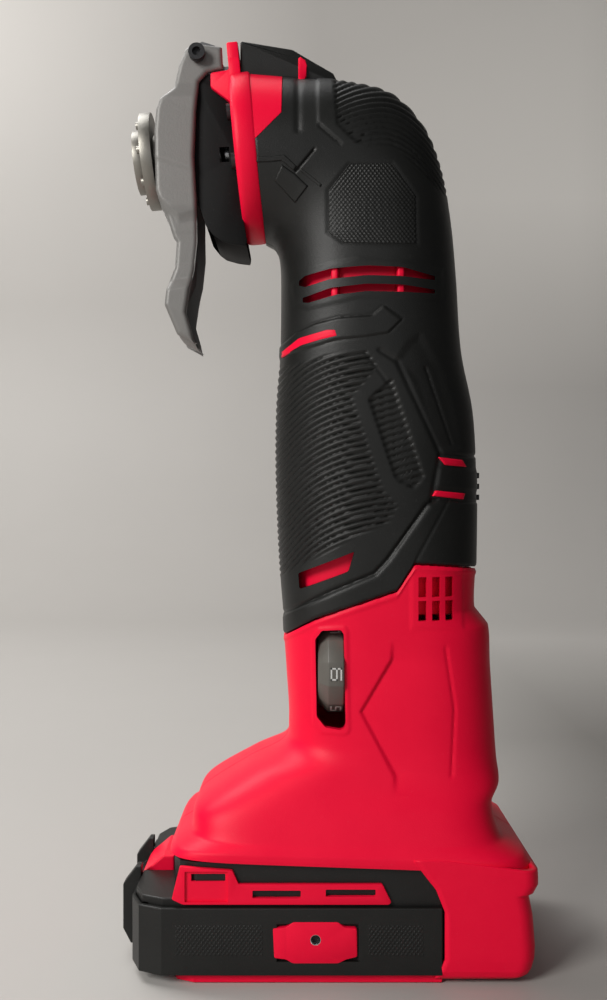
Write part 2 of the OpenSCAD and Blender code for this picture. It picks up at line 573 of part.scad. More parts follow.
module battery_bumper() color("#19191b") difference() {
  union() {
    band(pack_half, 0);
    side([[-79, 4], [-83, 4], [-85.6, 9], [-85.6, 18], [-82, 21.6], [-79, 21.6]], -13.6, 13.6);
    both() side([[-79, 4], [-83, 4], [-85.6, 9], [-85.6, 24], [-81, 30], [-76.4, 30], [-76.4, 27.2], [-79, 27.2]],
      -16.4, -11.8);
  }
  box(-100, -70, -11.3, 11.3, button_z0 - 0.4, 40);
  slab(pack_x0 + 1.2 - fit, 40, neck_half + fit, 10, 0, 60);
  both() side([[-33, 7.6], [-7, 7.6], [-7, 19.4], [-33, 19.4]], -60, -neck_half - 0.5);
}
module battery_inserts() color("#c8141c") both() difference() {
  side([[-61, 36.6], [-47.6, 36], [-45.6, 31.8], [0, 31.8], [3, 26], [-60, 25.8], [-65, 27.4]],
    -neck_half - 1.2, -neck_half - fit);
  for (s = [[-58, -46.5, 33], [-40, -25, 28.4], [-17.6, -1.4, 28.4]])
    box(s[0], s[1], -neck_half - 4, -neck_half + 2, s[2], s[2] + 2.2);
}
module battery_plates() color("#c8141c") both() difference() {
  union() {
    box(-32.7, -7.3, -pack_half + 0.3, -neck_half - 0.7, 7.9, 19.1);
    box(-30, -12.6, -pack_half - 0.3, -neck_half - 0.7, 6.9 + 0.9, 19.1);
  }
  cy(-20.7, 14.3, -60, -20, 2);
}
cell_pitch = 2 * cell_r + 0.4;
cell_x0 = -65.6;
cell_z = 13;
module battery_cells() color("#3f7fb5") for (i = [0:cell_count - 1])
  cy(cell_x0 + i * cell_pitch, cell_z, -cell_l / 2, cell_l / 2, cell_r);
module cell_holder() color("#2b2d30") both() difference() {
  box(-76, 19, -cell_l / 2 + 1, -cell_l / 2 + 7, 3.4, 23.4);
  for (i = [0:cell_count - 1])
    cy(cell_x0 + i * cell_pitch, cell_z, -60, 0, cell_r + 0.1);
}
module battery_board() color("#2f6b3a") box(-49.8, 17.8, -15.8, 15.8, 26.4, 28);
module battery_contacts() color("#c9a55c") for (y = BLADES) {
  both_at(y) box(10, 17.5, 0.62, 1.1, 42.2, 47.8);
}
module both_at(y) { translate([0, y, 0]) children(); translate([0, y, 0]) mirror([0, 1, 0]) children(); }
module battery_screws() color("#3a3a3c") both() for (x = BASE_SCREWS) difference() {
  cz(x, -base_screw_y, 0.9, 2.7, 2.6);
  cz(x, -base_screw_y, 0.2, 1.9, 1.1);
}
module release_button() color("#c8141c") {
  side([[-69, 31.6], [-72.7, 31.6], [-79, 26.4], [-80.4, 24.4], [-80.4, button_z0], [-69, button_z0]], -10.9, 10.9);
}
module button_spring() color("#9a9da1") translate([0, 0, 27.2]) coil(2.6, 0.4, -68.5, -64.5, 3);

housing_left();
housing_right();
grip_left();
grip_right();
housing_screws();
head_collar();
nose_bumper();
gear_case();
gear_case_screws();
spindle_bearing_front();
spindle_bearing_rear();
output_spindle();
spindle_fork();
clamp_flange();
blade_holder();
clamp_spring();
release_collar();
clamp_lever();
lever_pin();
lever_spring();
led_housing();
led_lens();
led_board();
motor_can();
motor_end_bell();
motor_magnets();
brush_holders();
motor_bearings();
armature_shaft();
lamination_stack();
commutator();
cooling_fan();
eccentric_hub();
eccentric_bearing();
speed_dial();
dial_potentiometer();
switch_slider();
switch_module();
control_board();
terminal_block();
tool_terminals();
battery_base();
battery_shell();
battery_bumper();
battery_inserts();
battery_plates();
battery_cells();
cell_holder();
battery_board();
battery_contacts();
battery_screws();
release_button();
button_spring();
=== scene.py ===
"""Cordless oscillating multi tool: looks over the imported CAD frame."""
import math

import bmesh
import bpy
import numpy as np
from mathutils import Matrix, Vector
from mathutils.bvhtree import BVHTree


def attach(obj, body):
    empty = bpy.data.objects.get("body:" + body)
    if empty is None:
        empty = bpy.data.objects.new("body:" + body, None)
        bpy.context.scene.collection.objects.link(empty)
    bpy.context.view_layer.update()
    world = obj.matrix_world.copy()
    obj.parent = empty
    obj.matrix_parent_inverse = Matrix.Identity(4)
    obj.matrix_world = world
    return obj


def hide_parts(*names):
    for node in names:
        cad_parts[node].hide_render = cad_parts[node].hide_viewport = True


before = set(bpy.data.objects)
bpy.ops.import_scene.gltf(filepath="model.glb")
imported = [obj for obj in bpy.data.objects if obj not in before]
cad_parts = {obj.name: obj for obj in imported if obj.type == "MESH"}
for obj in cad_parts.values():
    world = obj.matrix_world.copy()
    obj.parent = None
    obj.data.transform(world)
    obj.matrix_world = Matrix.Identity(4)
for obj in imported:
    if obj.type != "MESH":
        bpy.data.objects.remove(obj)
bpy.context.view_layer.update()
MM = 0.001

# ---- camera and drawing plane
CAMERA = (-24.5, -355.0, 154.0)
DEPTH = -CAMERA[1]
FOCAL = 1000.0
MID_U, MID_V = 303.5, 500


def drawing(p):
    """Side-drawing coordinates of points in mm; the far side uses the near side's drawing."""
    d = DEPTH - np.abs(p[..., 1])
    return MID_U + (p[..., 0] - CAMERA[0]) * FOCAL / d, MID_V - (p[..., 2] - CAMERA[2]) * FOCAL / d


def at_depth(points, y):
    """Drawing points turned into x, z in mm on the plane y."""
    k = (DEPTH + y) / FOCAL
    return [((u - MID_U) * k + CAMERA[0], (MID_V - v) * k + CAMERA[2]) for u, v in points]


# ---- shader writing
class Val:
    """A socket that takes part in Python arithmetic by adding Math nodes."""

    def __init__(self, finish, socket):
        self.finish, self.socket = finish, socket

    def _do(self, op, *args):
        return self.finish.node("ShaderNodeMath", {"operation": op}, *args)

    def __add__(self, o): return self._do("ADD", self, o)
    def __radd__(self, o): return self._do("ADD", o, self)
    def __sub__(self, o): return self._do("SUBTRACT", self, o)
    def __rsub__(self, o): return self._do("SUBTRACT", o, self)
    def __mul__(self, o): return self._do("MULTIPLY", self, o)
    def __rmul__(self, o): return self._do("MULTIPLY", o, self)
    def clip(self): return self.finish.node("ShaderNodeClamp", {}, self)


class Finish:
    """One material built node by node."""

    def __init__(self, name):
        self.mat = bpy.data.materials.new(name)
        self.mat.use_nodes = True
        self.tree = self.mat.node_tree
        self.tree.nodes.clear()
        self.out = self.tree.nodes.new("ShaderNodeOutputMaterial")

    def node(self, kind, settings=None, *values, pick=0, **named):
        n = self.tree.nodes.new(kind)
        for key, value in (settings or {}).items():
            setattr(n, key, value)
        for i, value in enumerate(values):
            self._feed(n.inputs[i], value)
        for key, value in named.items():
            self._feed(n.inputs[key.replace("_", " ")], value)
        return Val(self, n.outputs[pick])

    def _feed(self, socket, value):
        if isinstance(value, Val):
            self.tree.links.new(value.socket, socket)
        else:
            socket.default_value = value

    def place(self): return self.node("ShaderNodeTexCoord", pick=3)

    def axes(self, vector):
        n = self.tree.nodes.new("ShaderNodeSeparateXYZ")
        self._feed(n.inputs[0], vector)
        return [Val(self, n.outputs[i]) for i in range(3)]

    def noise(self, scale, detail=3.0, rough=0.55, vector=None):
        return self.node("ShaderNodeTexNoise", {"noise_dimensions": "3D"}, Vector=vector or self.place(),
                         Scale=scale, Detail=detail, Roughness=rough)

    def blend(self, factor, a, b):
        n = self.tree.nodes.new("ShaderNodeMix")
        n.data_type = "RGBA"
        self._feed(n.inputs[0], factor)
        self._feed(n.inputs[6], a if isinstance(a, Val) else (*a, 1))
        self._feed(n.inputs[7], b if isinstance(b, Val) else (*b, 1))
        return Val(self, n.outputs[2])

    def bump(self, height, depth):
        return self.node("ShaderNodeBump", {}, Strength=1.0, Distance=depth, Height=height)

    def close(self, **sockets):
        n = self.tree.nodes.new("ShaderNodeBsdfPrincipled")
        for key, value in sockets.items():
            name = key.replace("_", " ")
            if name == "Base Color" and not isinstance(value, Val):
                value = (*value, 1)
            self._feed(n.inputs[name], value)
        self.tree.links.new(n.outputs[0], self.out.inputs[0])
        return self.mat


def moulded(name, colour, rough, grain, depth, spec=0.5, vary=0.12):
    """Moulded plastic or rubber: fine spark texture, slow sheen changes and a little dust."""
    f = Finish(name)
    fine = f.noise(grain, 2.0, 0.6)
    slow = f.noise(55.0, 4.0, 0.6)
    dust = (f.noise(900.0, 3.0, 0.7) - 0.62).clip() * 2.2
    dark = tuple(c * (1 - vary) for c in colour)
    light = tuple(min(1, c * (1 + vary) + 0.004) for c in colour)
    tint = f.blend(slow, dark, light)
    tint = f.blend((dust * 0.35).clip(), tint, tuple(min(1, c * 0.8 + 0.10) for c in colour))
    return f.close(Base_Color=tint, Roughness=(slow * 0.16 + (rough - 0.08)) + dust * 0.1,
                   Normal=f.bump(fine, depth), Specular_IOR_Level=spec)


def metal(name, colour, rough, stretch=(1, 1, 1), grain=900.0, metallic=1.0, vary=0.18, depth=0.00003):
    """Bare or painted metal with drawn or cast grain."""
    f = Finish(name)
    vec = f.node("ShaderNodeMapping", {}, Vector=f.place(), Scale=stretch)
    fine = f.noise(grain, 3.0, 0.6, vec)
    slow = f.noise(90.0, 4.0, 0.6)
    dark = tuple(c * (1 - vary) for c in colour)
    light = tuple(min(1, c * (1 + vary)) for c in colour)
    tint = f.blend((fine * 0.5 + slow * 0.5).clip(), dark, light)
    return f.close(Base_Color=tint, Metallic=metallic, Roughness=(fine * 0.18 + (rough - 0.09)),
                   Normal=f.bump(fine, depth))


RED = (0.84, 0.0015, 0.036)
BLACK = (0.0064, 0.0066, 0.0060)
MAT = {
    "red": moulded("red_moulding", RED, 0.42, 2600.0, 0.00005, vary=0.05, spec=0.15),
    "grip": moulded("black_rubber", BLACK, 0.44, 3200.0, 0.00007, spec=0.32, vary=0.22),
    "black": moulded("black_moulding", (0.0068, 0.0066, 0.0062), 0.40, 2600.0, 0.00005, vary=0.2, spec=0.32),
    "lever": metal("lever_casting", (0.180, 0.175, 0.168), 0.50, grain=1500.0, metallic=0.25, vary=0.10,
                   depth=0.00006),
    "casting": metal("gear_casting", (0.16, 0.16, 0.165), 0.45, grain=1200.0, depth=0.00005),
    "holder": metal("hardened_steel", (0.27, 0.258, 0.232), 0.45, grain=1800.0, vary=0.15),
    "ground": metal("ground_steel", (0.56, 0.57, 0.58), 0.28, (1, 14, 14), 260.0),
    "spring": metal("spring_wire", (0.030, 0.030, 0.032), 0.40, grain=1500.0, metallic=0.8),
    "oxide": metal("black_oxide", (0.030, 0.030, 0.032), 0.42, grain=1600.0, metallic=0.6),
    "screw": metal("zinc_screw", (0.34, 0.34, 0.35), 0.36, grain=1500.0),
    "can": metal("rolled_steel", (0.40, 0.41, 0.42), 0.36, (1, 1, 10), 300.0),
    "ferrite": metal("ferrite", (0.05, 0.05, 0.055), 0.7, metallic=0.0),
    "brass": metal("drawn_brass", (0.60, 0.43, 0.18), 0.34, (12, 1, 1), 300.0),
    "copper": metal("turned_copper", (0.62, 0.32, 0.18), 0.32, (1, 1, 16), 300.0),
    "sheet": metal("stamped_sheet", (0.20, 0.20, 0.21), 0.5, (1, 1, 60), 200.0),
    "board": moulded("board_coating", (0.03, 0.16, 0.07), 0.35, 1400.0, 0.00003, vary=0.3),
    "blue": moulded("blue_case", (0.05, 0.15, 0.30), 0.35, 1200.0, 0.00002),
    "cell": moulded("cell_wrap", (0.05, 0.20, 0.42), 0.3, 400.0, 0.00004),
    # near-black finish, darker than the black moulding: a real black part with painted shade on top
    "black_and_painted_shade": moulded("black_moulding_and_painted_shade", (0.0035, 0.0035, 0.0037), 0.6, 2600.0, 0.00004, vary=0.2,
                     spec=0.12),
    "dial": moulded("dial_moulding", (0.105, 0.098, 0.086), 0.44, 2800.0, 0.00004, vary=0.12),
    "white": moulded("numeral_paint", (0.60, 0.60, 0.58), 0.5, 2600.0, 0.00001, vary=0.04),
}
lens = Finish("lens_plastic")
MAT["lens"] = lens.close(Base_Color=lens.blend(lens.noise(220.0), (0.78, 0.82, 0.84), (0.88, 0.91, 0.92)),
                         Roughness=0.22, Transmission_Weight=0.55, IOR=1.49,
                         Normal=lens.bump(lens.noise(700.0), 0.00004))


# ---- making pieces
def linked(name, data):
    """A new object in the scene."""
    obj = bpy.data.objects.new(name, data)
    bpy.context.scene.collection.objects.link(obj)
    return obj


def smoothed(mesh):
    mesh.polygons.foreach_set("use_smooth", [True] * len(mesh.polygons))


def solid(name, points, faces):
    """A mesh object from points in mm, its normals outwards."""
    mesh = bpy.data.meshes.new(name)
    mesh.from_pydata((np.asarray(points, dtype=float).reshape(-1, 3) * MM).tolist(), [], faces)
    mesh.validate()
    obj = linked(name, mesh)
    bm = bmesh.new()
    bm.from_mesh(mesh)
    bmesh.ops.recalc_face_normals(bm, faces=bm.faces)
    bm.to_mesh(mesh)
    bm.free()
    return obj


def piece(name, points, faces, body, mat, replaces=()):
    """A piece that rides on a body and can take the place of CAD nodes."""
    obj = solid(name, points, faces)
    smoothed(obj.data)
    obj.data.materials.append(MAT[mat])
    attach(obj, body)
    if replaces:
        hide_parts(*replaces)
    return obj


def soften(obj, width, segments=3, angle=32):
    """Rounded edges that catch the light."""
    m = obj.modifiers.new("rounding", "BEVEL")
    m.width, m.segments, m.limit_method = width * MM, segments, "ANGLE"
    m.angle_limit = math.radians(angle)
    return obj


def settle(obj, angle=38):
    """Applies the modifiers and keeps edges crisp above the angle."""
    view = bpy.context.evaluated_depsgraph_get()
    view.update()
    done = bpy.data.meshes.new_from_object(obj.evaluated_get(view))
    old = obj.data
    obj.modifiers.clear()
    obj.data = done
    bpy.data.meshes.remove(old)
    crisp(obj, angle)
    return obj


def crisp(obj, angle=38):
    bm = bmesh.new()
    bm.from_mesh(obj.data)
    limit = math.radians(angle)
    for edge in bm.edges:
        edge.smooth = len(edge.link_faces) == 2 and edge.calc_face_angle(0) < limit
    for face in bm.faces:
        face.smooth = True
    bm.to_mesh(obj.data)
    bm.free()
    return obj


def carve(obj, cutters, angle=38, keep=False):
    """Cuts the cutter meshes out of the piece, or keeps only what they share, and removes them."""
    for c in cutters:
        m = obj.modifiers.new("cut", "BOOLEAN")
        m.operation, m.solver, m.object = "INTERSECT" if keep else "DIFFERENCE", "EXACT", c
    settle(obj, angle)
    for c in cutters:
        data = c.data
        bpy.data.objects.remove(c)
        bpy.data.meshes.remove(data)
    return obj


def cutter(points, faces):
    return solid("cutter", points, faces)


def prism_faces(n):
    """Two ends of n corners and the walls between them."""
    faces = [tuple(range(n)), tuple(range(2 * n - 1, n - 1, -1))]
    return faces + [(i, (i + 1) % n, n + (i + 1) % n, n + i) for i in range(n)]


def prism(outline, y0, y1):
    """Points and faces of a side outline (x, z) drawn out along y."""
    return [(x, y, z) for y in (y0, y1) for x, z in outline], prism_faces(len(outline))


def rounded(outline, radius, steps=4):
    """The outline with its corners rounded."""
    out = []
    n = len(outline)
    for i in range(n):
        p0, p1, p2 = (np.array(outline[(i + k) % n], float) for k in (-1, 0, 1))
        a, b = p0 - p1, p2 - p1
        la, lb = np.linalg.norm(a), np.linalg.norm(b)
        r = min(radius, la * 0.45, lb * 0.45)
        a, b = p1 + a / la * r, p1 + b / lb * r
        for k in range(steps + 1):
            t = k / steps
            out.append(tuple((1 - t) ** 2 * a + 2 * t * (1 - t) * p1 + t * t * b))
    return out


def strip(rows, cols, closed=False, start=0):
    """Quads of a grid of points, row by row."""
    faces = []
    for r in range(rows - 1):
        for c in range(cols if closed else cols - 1):
            d = (c + 1) % cols
            a = start + r * cols
            faces.append((a + c, a + d, a + cols + d, a + cols + c))
    return faces


def capped_faces(rows, cols):
    """Quads of a tube of rows with its two ends."""
    n = rows * cols
    return strip(rows, cols, True) + [tuple(range(cols)), tuple(range(n - 1, n - cols - 1, -1))]


def ring_faces(rows, cols):
    """Quads of a grid closed both ways."""
    last = (rows - 1) * cols
    return strip(rows, cols, True) + [(last + c, last + (c + 1) % cols, (c + 1) % cols, c) for c in range(cols)]


def shell(outer, inner):
    """A closed skin between two grids of the same size."""
    rows, cols = outer.shape[:2]
    n = rows * cols
    faces = strip(rows, cols) + [tuple(reversed(f)) for f in strip(rows, cols, start=n)]
    for r in range(rows - 1):
        for c in (0, cols - 1):
            a, b = r * cols + c, (r + 1) * cols + c
            faces.append((a, b, n + b, n + a) if c == 0 else (b, a, n + a, n + b))
    for c in range(cols - 1):
        for r in (0, rows - 1):
            a, b = r * cols + c, r * cols + c + 1
            faces.append((b, a, n + a, n + b) if r == 0 else (a, b, n + b, n + a))
    return np.concatenate([outer.reshape(-1, 3), inner.reshape(-1, 3)]), faces


# ---- the handle's form
# sections as in the CAD source: front x, front z, back x, back z, half width, corner power
SECTIONS = np.array([
    [-69, 39.4, 51, 35.2, 38.2, 7], [-67, 41.6, 48.8, 38.6, 38, 7], [-62.4, 44.4, 42, 42.6, 36.4, 5.5],
    [-60.2, 52.6, 39.3, 52.2, 33, 5], [-44, 63.2, 42.6, 58.5, 29.5, 4], [-31.5, 69.8, 42.4, 66, 27.6, 3.2],
    [-29.6, 78, 41.9, 75, 27, 3], [-30.5, 95, 40.5, 97, 27, 3], [-31.3, 107, 39.6, 111.5, 27.5, 3],
    [-31.6, 114, 35.2, 117, 28, 2.8], [-33.2, 135, 35.8, 135, 28.5, 2.6], [-34.3, 163, 36, 160, 29, 2.5],
    [-34.1, 186, 34.8, 184, 29.3, 2.5], [-32.7, 206, 30.7, 206, 29.5, 2.4], [-32.4, 228, 28.9, 232, 29.5, 2.4],
    [-32.7, 237, 27, 251.7, 29.5, 2.4], [-33.4, 241, 23.8, 268.9, 29.5, 2.4],
    [-34.3, 242.8, 17.9, 283.4, 29.6, 2.4], [-35, 243.8, 7, 294.5, 29.8, 2.4],
    [-35.8, 244.4, -8.1, 298.9, 30, 2.3], [-36.9, 244.9, -24, 300.6, 30, 2.2],
    [-38, 245.5, -43.6, 302.6, 30, 2.1]])
FINE = 20  # steps between two tabled sections
ARC = 241  # points along each section
ARC_LENGTH = 95  # length of a section's half round, about, mm
MID_GAP = 0.08  # how far each half stays from the middle plane, mm


def smooth_sections():
    """Sections between the tabled ones: straight in the foot, a spline above it."""
    out = []
    n = len(SECTIONS)
    for i in range(n - 1):
        p0, p1, p2, p3 = (SECTIONS[min(max(i + k, 0), n - 1)] for k in (-1, 0, 1, 2))
        for k in range(FINE):
            t = k / FINE
            if i < 2 or i == 8:
                out.append(p1 + (p2 - p1) * t)
            else:
                out.append(0.5 * (2 * p1 + (p2 - p0) * t + (2 * p0 - 5 * p1 + 4 * p2 - p3) * t * t
                                  + (3 * p1 - p0 - 3 * p2 + p3) * t ** 3))
    out.append(SECTIONS[-1])
    return np.array(out)


def spread(line, n):
    """n points evenly spaced along a line of points."""
    run = np.concatenate([[0], np.cumsum(np.linalg.norm(np.diff(line, axis=0), axis=1))])
    w = np.linspace(0, run[-1], n)
    return np.stack([np.interp(w, run, line[:, k]) for k in range(line.shape[1])], 1)


def form_table():
    """The near half of the form: a row of ARC points for each section."""
    secs = smooth_sections()
    t = np.radians(np.linspace(180, 360, 721))
    grid = np.zeros((len(secs), ARC, 3))
    for i, (fx, fz, bx, bz, half, power) in enumerate(secs):
        dx, dz = bx - fx, bz - fz
        length = math.hypot(dx, dz)
        c, s = np.cos(t), np.sin(t)
        u = length / 2 * np.sign(c) * np.abs(c) ** (2 / power)
        v = half * np.sign(s) * np.abs(s) ** (2 / power)
        p = np.stack([(fx + bx) / 2 + u * dx / length, v, (fz + bz) / 2 + u * dz / length], 1)
        grid[i] = spread(p, ARC)
    return grid


def sided(points, sign):
    """Points of the near half, mirrored for the far one."""
    return points if sign < 0 else points * (1, -1, 1)


SIDES = (("left", -1), ("right", 1))
FORM = form_table()


def grid_normals(g):
    """Unit normals of a grid, outwards."""
    n = np.cross(np.gradient(g, axis=1), np.gradient(g, axis=0))
    n /= np.maximum(np.linalg.norm(n, axis=2, keepdims=True), 1e-9)
    return -n if ((g - g.mean(axis=(0, 1))) * n).sum() < 0 else n


FORM_N = grid_normals(FORM)
FORM_N[:, (0, -1), 1] = 0
FORM_N /= np.linalg.norm(FORM_N, axis=2, keepdims=True)


def sample(table, s, w):
    """Values of a form table at section s (0..21) and arc share w (0..1)."""
    a = np.clip(s * FINE, 0, table.shape[0] - 1.001)
    b = np.clip(w * (ARC - 1), 0, ARC - 1.001)
    i, j = a.astype(int), b.astype(int)
    fa, fb = (a - i)[..., None], (b - j)[..., None]
    return ((table[i, j] * (1 - fa) + table[i + 1, j] * fa) * (1 - fb)
            + (table[i, j + 1] * (1 - fa) + table[i + 1, j + 1] * fa) * fb)


EDGE_U = [200, 285.8, 314, 397.7, 415, 470, 560]
EDGE_V = [652, 633.6, 620, 591.5, 564.5, 567.5, 569]


def edge_sections(columns, lift=0.0):
    """For each column, the section where the form crosses the grip's lower edge, raised by lift."""
    s = np.linspace(6, 13, 700)
    found = []
    for w in columns:
        p = sample(FORM, s, np.full_like(s, w))
        u, v = drawing(p)
        found.append(s[int(np.argmax(v < np.interp(u, EDGE_U, EDGE_V) - lift))])
    return np.array(found)


# ---- relief, drawn in side-drawing units
def line_distance(u, v, pts):
    best = np.full(u.shape, 1e9)
    for (x0, y0), (x1, y1) in zip(pts[:-1], pts[1:]):
        dx, dy = x1 - x0, y1 - y0
        t = np.clip(((u - x0) * dx + (v - y0) * dy) / (dx * dx + dy * dy), 0, 1)
        best = np.minimum(best, np.hypot(u - x0 - t * dx, v - y0 - t * dy))
    return best


def inside(u, v, poly, soft):
    """1 inside the outline, 0 outside, soft at its edge."""
    odd = np.zeros(u.shape, bool)
    for (x0, y0), (x1, y1) in zip(poly, poly[1:] + poly[:1]):
        if y0 != y1:
            odd ^= ((y0 > v) != (y1 > v)) & (u < (x1 - x0) * (v - y0) / (y1 - y0) + x0)
    d = line_distance(u, v, poly + poly[:1])
    t = np.clip(np.where(odd, d, -d) / soft * 0.5 + 0.5, 0, 1)
    return t * t * (3 - 2 * t)


def groove(u, v, pts, width, depth):
    return -depth * np.exp(-(line_distance(u, v, pts) / width) ** 2)


def rib_profile(c, pitch):
    """0 on the rib's crown, -1 in the narrow groove between ribs."""
    return np.abs(np.sin(np.pi * c / pitch)) ** 0.55 - 1


MAIN_RIBS = [(200, 384), (289.5, 366), (330, 355), (366, 351), (377, 366), (363, 383), (351, 396), (383.4, 491.5),
             (397.7, 505.8), (387.5, 523), (352.8, 538), (280, 576), (200, 600)]
SIDE_RIBS = [(369, 398.6), (391.6, 379), (424.2, 477), (414, 489), (398, 480), (394.6, 475)]
DOME_RIBS = [(334, 60), (334, 81), (337.5, 124), (357, 143), (389, 144), (404, 154), (429, 182), (447, 197),
             (500, 197), (500, 60)]
KNURL = [(349, 162.3), (393, 162), (417, 195), (418, 244.5), (343, 243.5), (326.8, 233), (326.8, 190)]
BAND = [(262, 362), (280, 346.4), (296.8, 331.7), (314.2, 323.6), (336.9, 317.6), (371.7, 314.9),
        (383.8, 304.9), (402.5, 319), (388.5, 333), (363.7, 337), (337, 339.7), (310, 347.7), (282, 357), (262, 372)]
# panels: height in mm, softness of the edge, outline; grooves: depth in mm, width, line
CREASES = [
    # panels between the rib fields
    ("panel", -0.45, 5, [(397.7, 361), (409, 343), (420, 335), (441, 372), (462, 446), (438, 450), (414, 380)]),
    ("groove", 0.35, 1.2, [(426.3, 367), (452.8, 444.5)]),
    ("groove", 0.5, 2.2, [(380, 350), (397.7, 361), (440.6, 452.7), (432, 500)]),
    ("groove", 0.3, 1.2, [(365, 352), (389, 384)]),
    ("groove", 0.3, 1.2, [(416, 561), (448.8, 499.7)]),
    ("groove", 0.75, 2.0, [(262, 622), (281.3, 614), (330, 592), (375, 573.5), (387.5, 560), (428, 504), (436, 500)]),
    ("panel", 0.30, 3, [(262, 640), (262, 622), (330, 596), (376, 577), (390, 562), (430, 506), (480, 500),
                        (480, 600)]),
    # the bump round the switch and the notches beside it
    ("panel", 0.35, 3, [(438, 468), (468, 470), (520, 470), (520, 492), (466, 490), (436, 487)]),
    ("groove", 0.5, 1.5, [(440, 454), (468, 456), (490, 456)]),
    ("groove", 0.35, 1.3, [(432, 499), (466, 502), (490, 502)]),
    # the stripe band above the ribs
    ("panel", 0.4, 1.5, BAND),
    ("groove", 0.3, 1.1, BAND[:-1]),
    # the head
    ("groove", 0.6, 1.0, [(296, 171), (314.3, 148.8)]),
    ("groove", 0.35, 3.2, [(298, 81), (298, 129)]),
    ("groove", 0.35, 1.2, [(319.6, 125), (341, 143.6)]),
    ("panel", 0.3, 2, [(317, 60), (333, 60), (334, 81), (337, 124), (357, 143), (341, 144), (318, 122)]),
    ("panel", -0.35, 2.5, KNURL),
    # the raised frame round the air slots
    ("panel", 0.22, 3, [(292, 286), (300, 274), (332, 263), (359, 258), (402, 261), (442, 270), (441, 300),
                        (400, 299), (359, 297), (308, 309), (296, 306)])]


RIB_PITCH, DOME_PITCH = 6.9, 5.3


def grip_relief(u, v):
    """Three fields of ribs, then the creases."""
    lean = 66 * (1 - np.exp(-np.maximum(u - 276, 0) / 45)) * (1 + (v - 430) / 520)
    h = inside(u, v, MAIN_RIBS, 2.2) * (0.85 * rib_profile(v + lean, RIB_PITCH) + 0.15)
    h += inside(u, v, SIDE_RIBS, 1.6) * (0.7 * rib_profile(v + 0.30 * (u - 380) + 2, RIB_PITCH) - 0.3)
    arc = np.where(u > 382, 0.0135, 0.006) * (u - 382) ** 2
    h += inside(u, v, DOME_RIBS, 1.8) * (0.72 * rib_profile(v - np.minimum(arc, 90), DOME_PITCH) + 0.1)
    for kind, height, soft, line in CREASES:
        h += groove(u, v, line, soft, height) if kind == "groove" else height * inside(u, v, line, soft)
    return h


def red_relief(u, v):
    h = np.zeros(u.shape)
    right = u - np.interp(v, [659, 712, 776], [392, 360.6, 395])
    fade = np.clip((v - 640) / 22, 0, 1) * np.clip((796 - v) / 24, 0, 1)
    h += -0.95 * np.clip(right / 2.5 + 0.5, 0, 1) * np.exp(-np.maximum(right, 0) / 30) * fade
    h += groove(u, v, [(446, 648), (454, 702), (455, 710), (452, 776)], 1.6, 0.35)
    rim = [(u0 + (4 if u0 > 330 else -4), v0 + (4 if v0 > 680 else -4)) for u0, v0 in DIAL_EDGE]
    h += 0.4 * inside(u, v, rim, 1.6)
    h += 0.25 * inside(u, v, [(411, 567), (463, 569), (463, 629), (411, 629)], 2.5)
    lip = v - np.interp(u, EDGE_U, EDGE_V)
    h += 0.35 * np.exp(-((lip - 4) / 2.5) ** 2)
    return h


def seam(w):
    """A fine parting line where the two halves meet."""
    return -0.18 * np.exp(-(np.minimum(w, 1 - w) * ARC_LENGTH / 0.45) ** 2)


def handle_skin(start, end, rows, cols, relief, thick, offset=0.0, lip=0.0):
    """Outer and inner grids of one half of the handle between two section lines."""
    # rows evenly spaced along the flank
    t = np.linspace(0, 1, rows)[:, None]
    lengths = np.linalg.norm(np.diff(FORM[:, ARC // 2], axis=0), axis=1)
    run = np.concatenate([[0], np.cumsum(lengths)])
    keys = np.arange(len(run)) / FINE
    r0, r1 = (np.interp(np.broadcast_to(line, (cols,)), keys, run) for line in (start, end))
    s = np.interp(r0 * (1 - t) + r1 * t, run, keys)
    w = np.broadcast_to(np.linspace(0, 1, cols), s.shape)
    base = sample(FORM, s, w)
    nrm = sample(FORM_N, s, w)
    u, v = drawing(base)
    h = relief(u, v) + offset + seam(w)
    if lip:
        edge = np.minimum(np.arange(rows), np.arange(rows)[::-1])[:, None]
        h = h - lip * np.exp(-(edge / 1.2) ** 2)
    outer = base + nrm * h[..., None]
    inner = base + nrm * (offset - thick)
    for g in (outer, inner):
        g[:, (0, -1), 1] = -MID_GAP
        g[..., 1] = np.minimum(g[..., 1], -MID_GAP)
    return outer, inner


def surface_tree():
    """The handle's form for ray lookups, in mm."""
    g = FORM[::2, ::2]
    rows, cols = g.shape[:2]
    return BVHTree.FromPolygons([Vector(p) for p in g.reshape(-1, 3)], strip(rows, cols))


TREE = surface_tree()
EYE = Vector(CAMERA)
NEAR_OUTLINE = 345  # how far along a ray that misses the form its nearest point is sought, mm


def on_form(u, v, lift=0.0):
    """The point of the near half's surface behind a drawing point, raised by lift."""
    ray = Vector(((u - MID_U) / FOCAL, 1.0, (MID_V - v) / FOCAL)).normalized()
    hit, normal, _, _ = TREE.ray_cast(EYE, ray)
    if hit is None:
        hit, normal, _, _ = TREE.find_nearest(EYE + ray * NEAR_OUTLINE)
    if normal.dot(ray) > 0:
        normal = -normal
    return np.array(hit + normal * lift)


def plain(u, v):
    return u * 0


def skin_piece(name, sign, mat, grids, replaces=()):
    """A skin of the tool's body from the near half's outer and inner grids."""
    return piece(name, *shell(*(sided(g, sign) for g in grids)), "tool_body", mat, replaces)


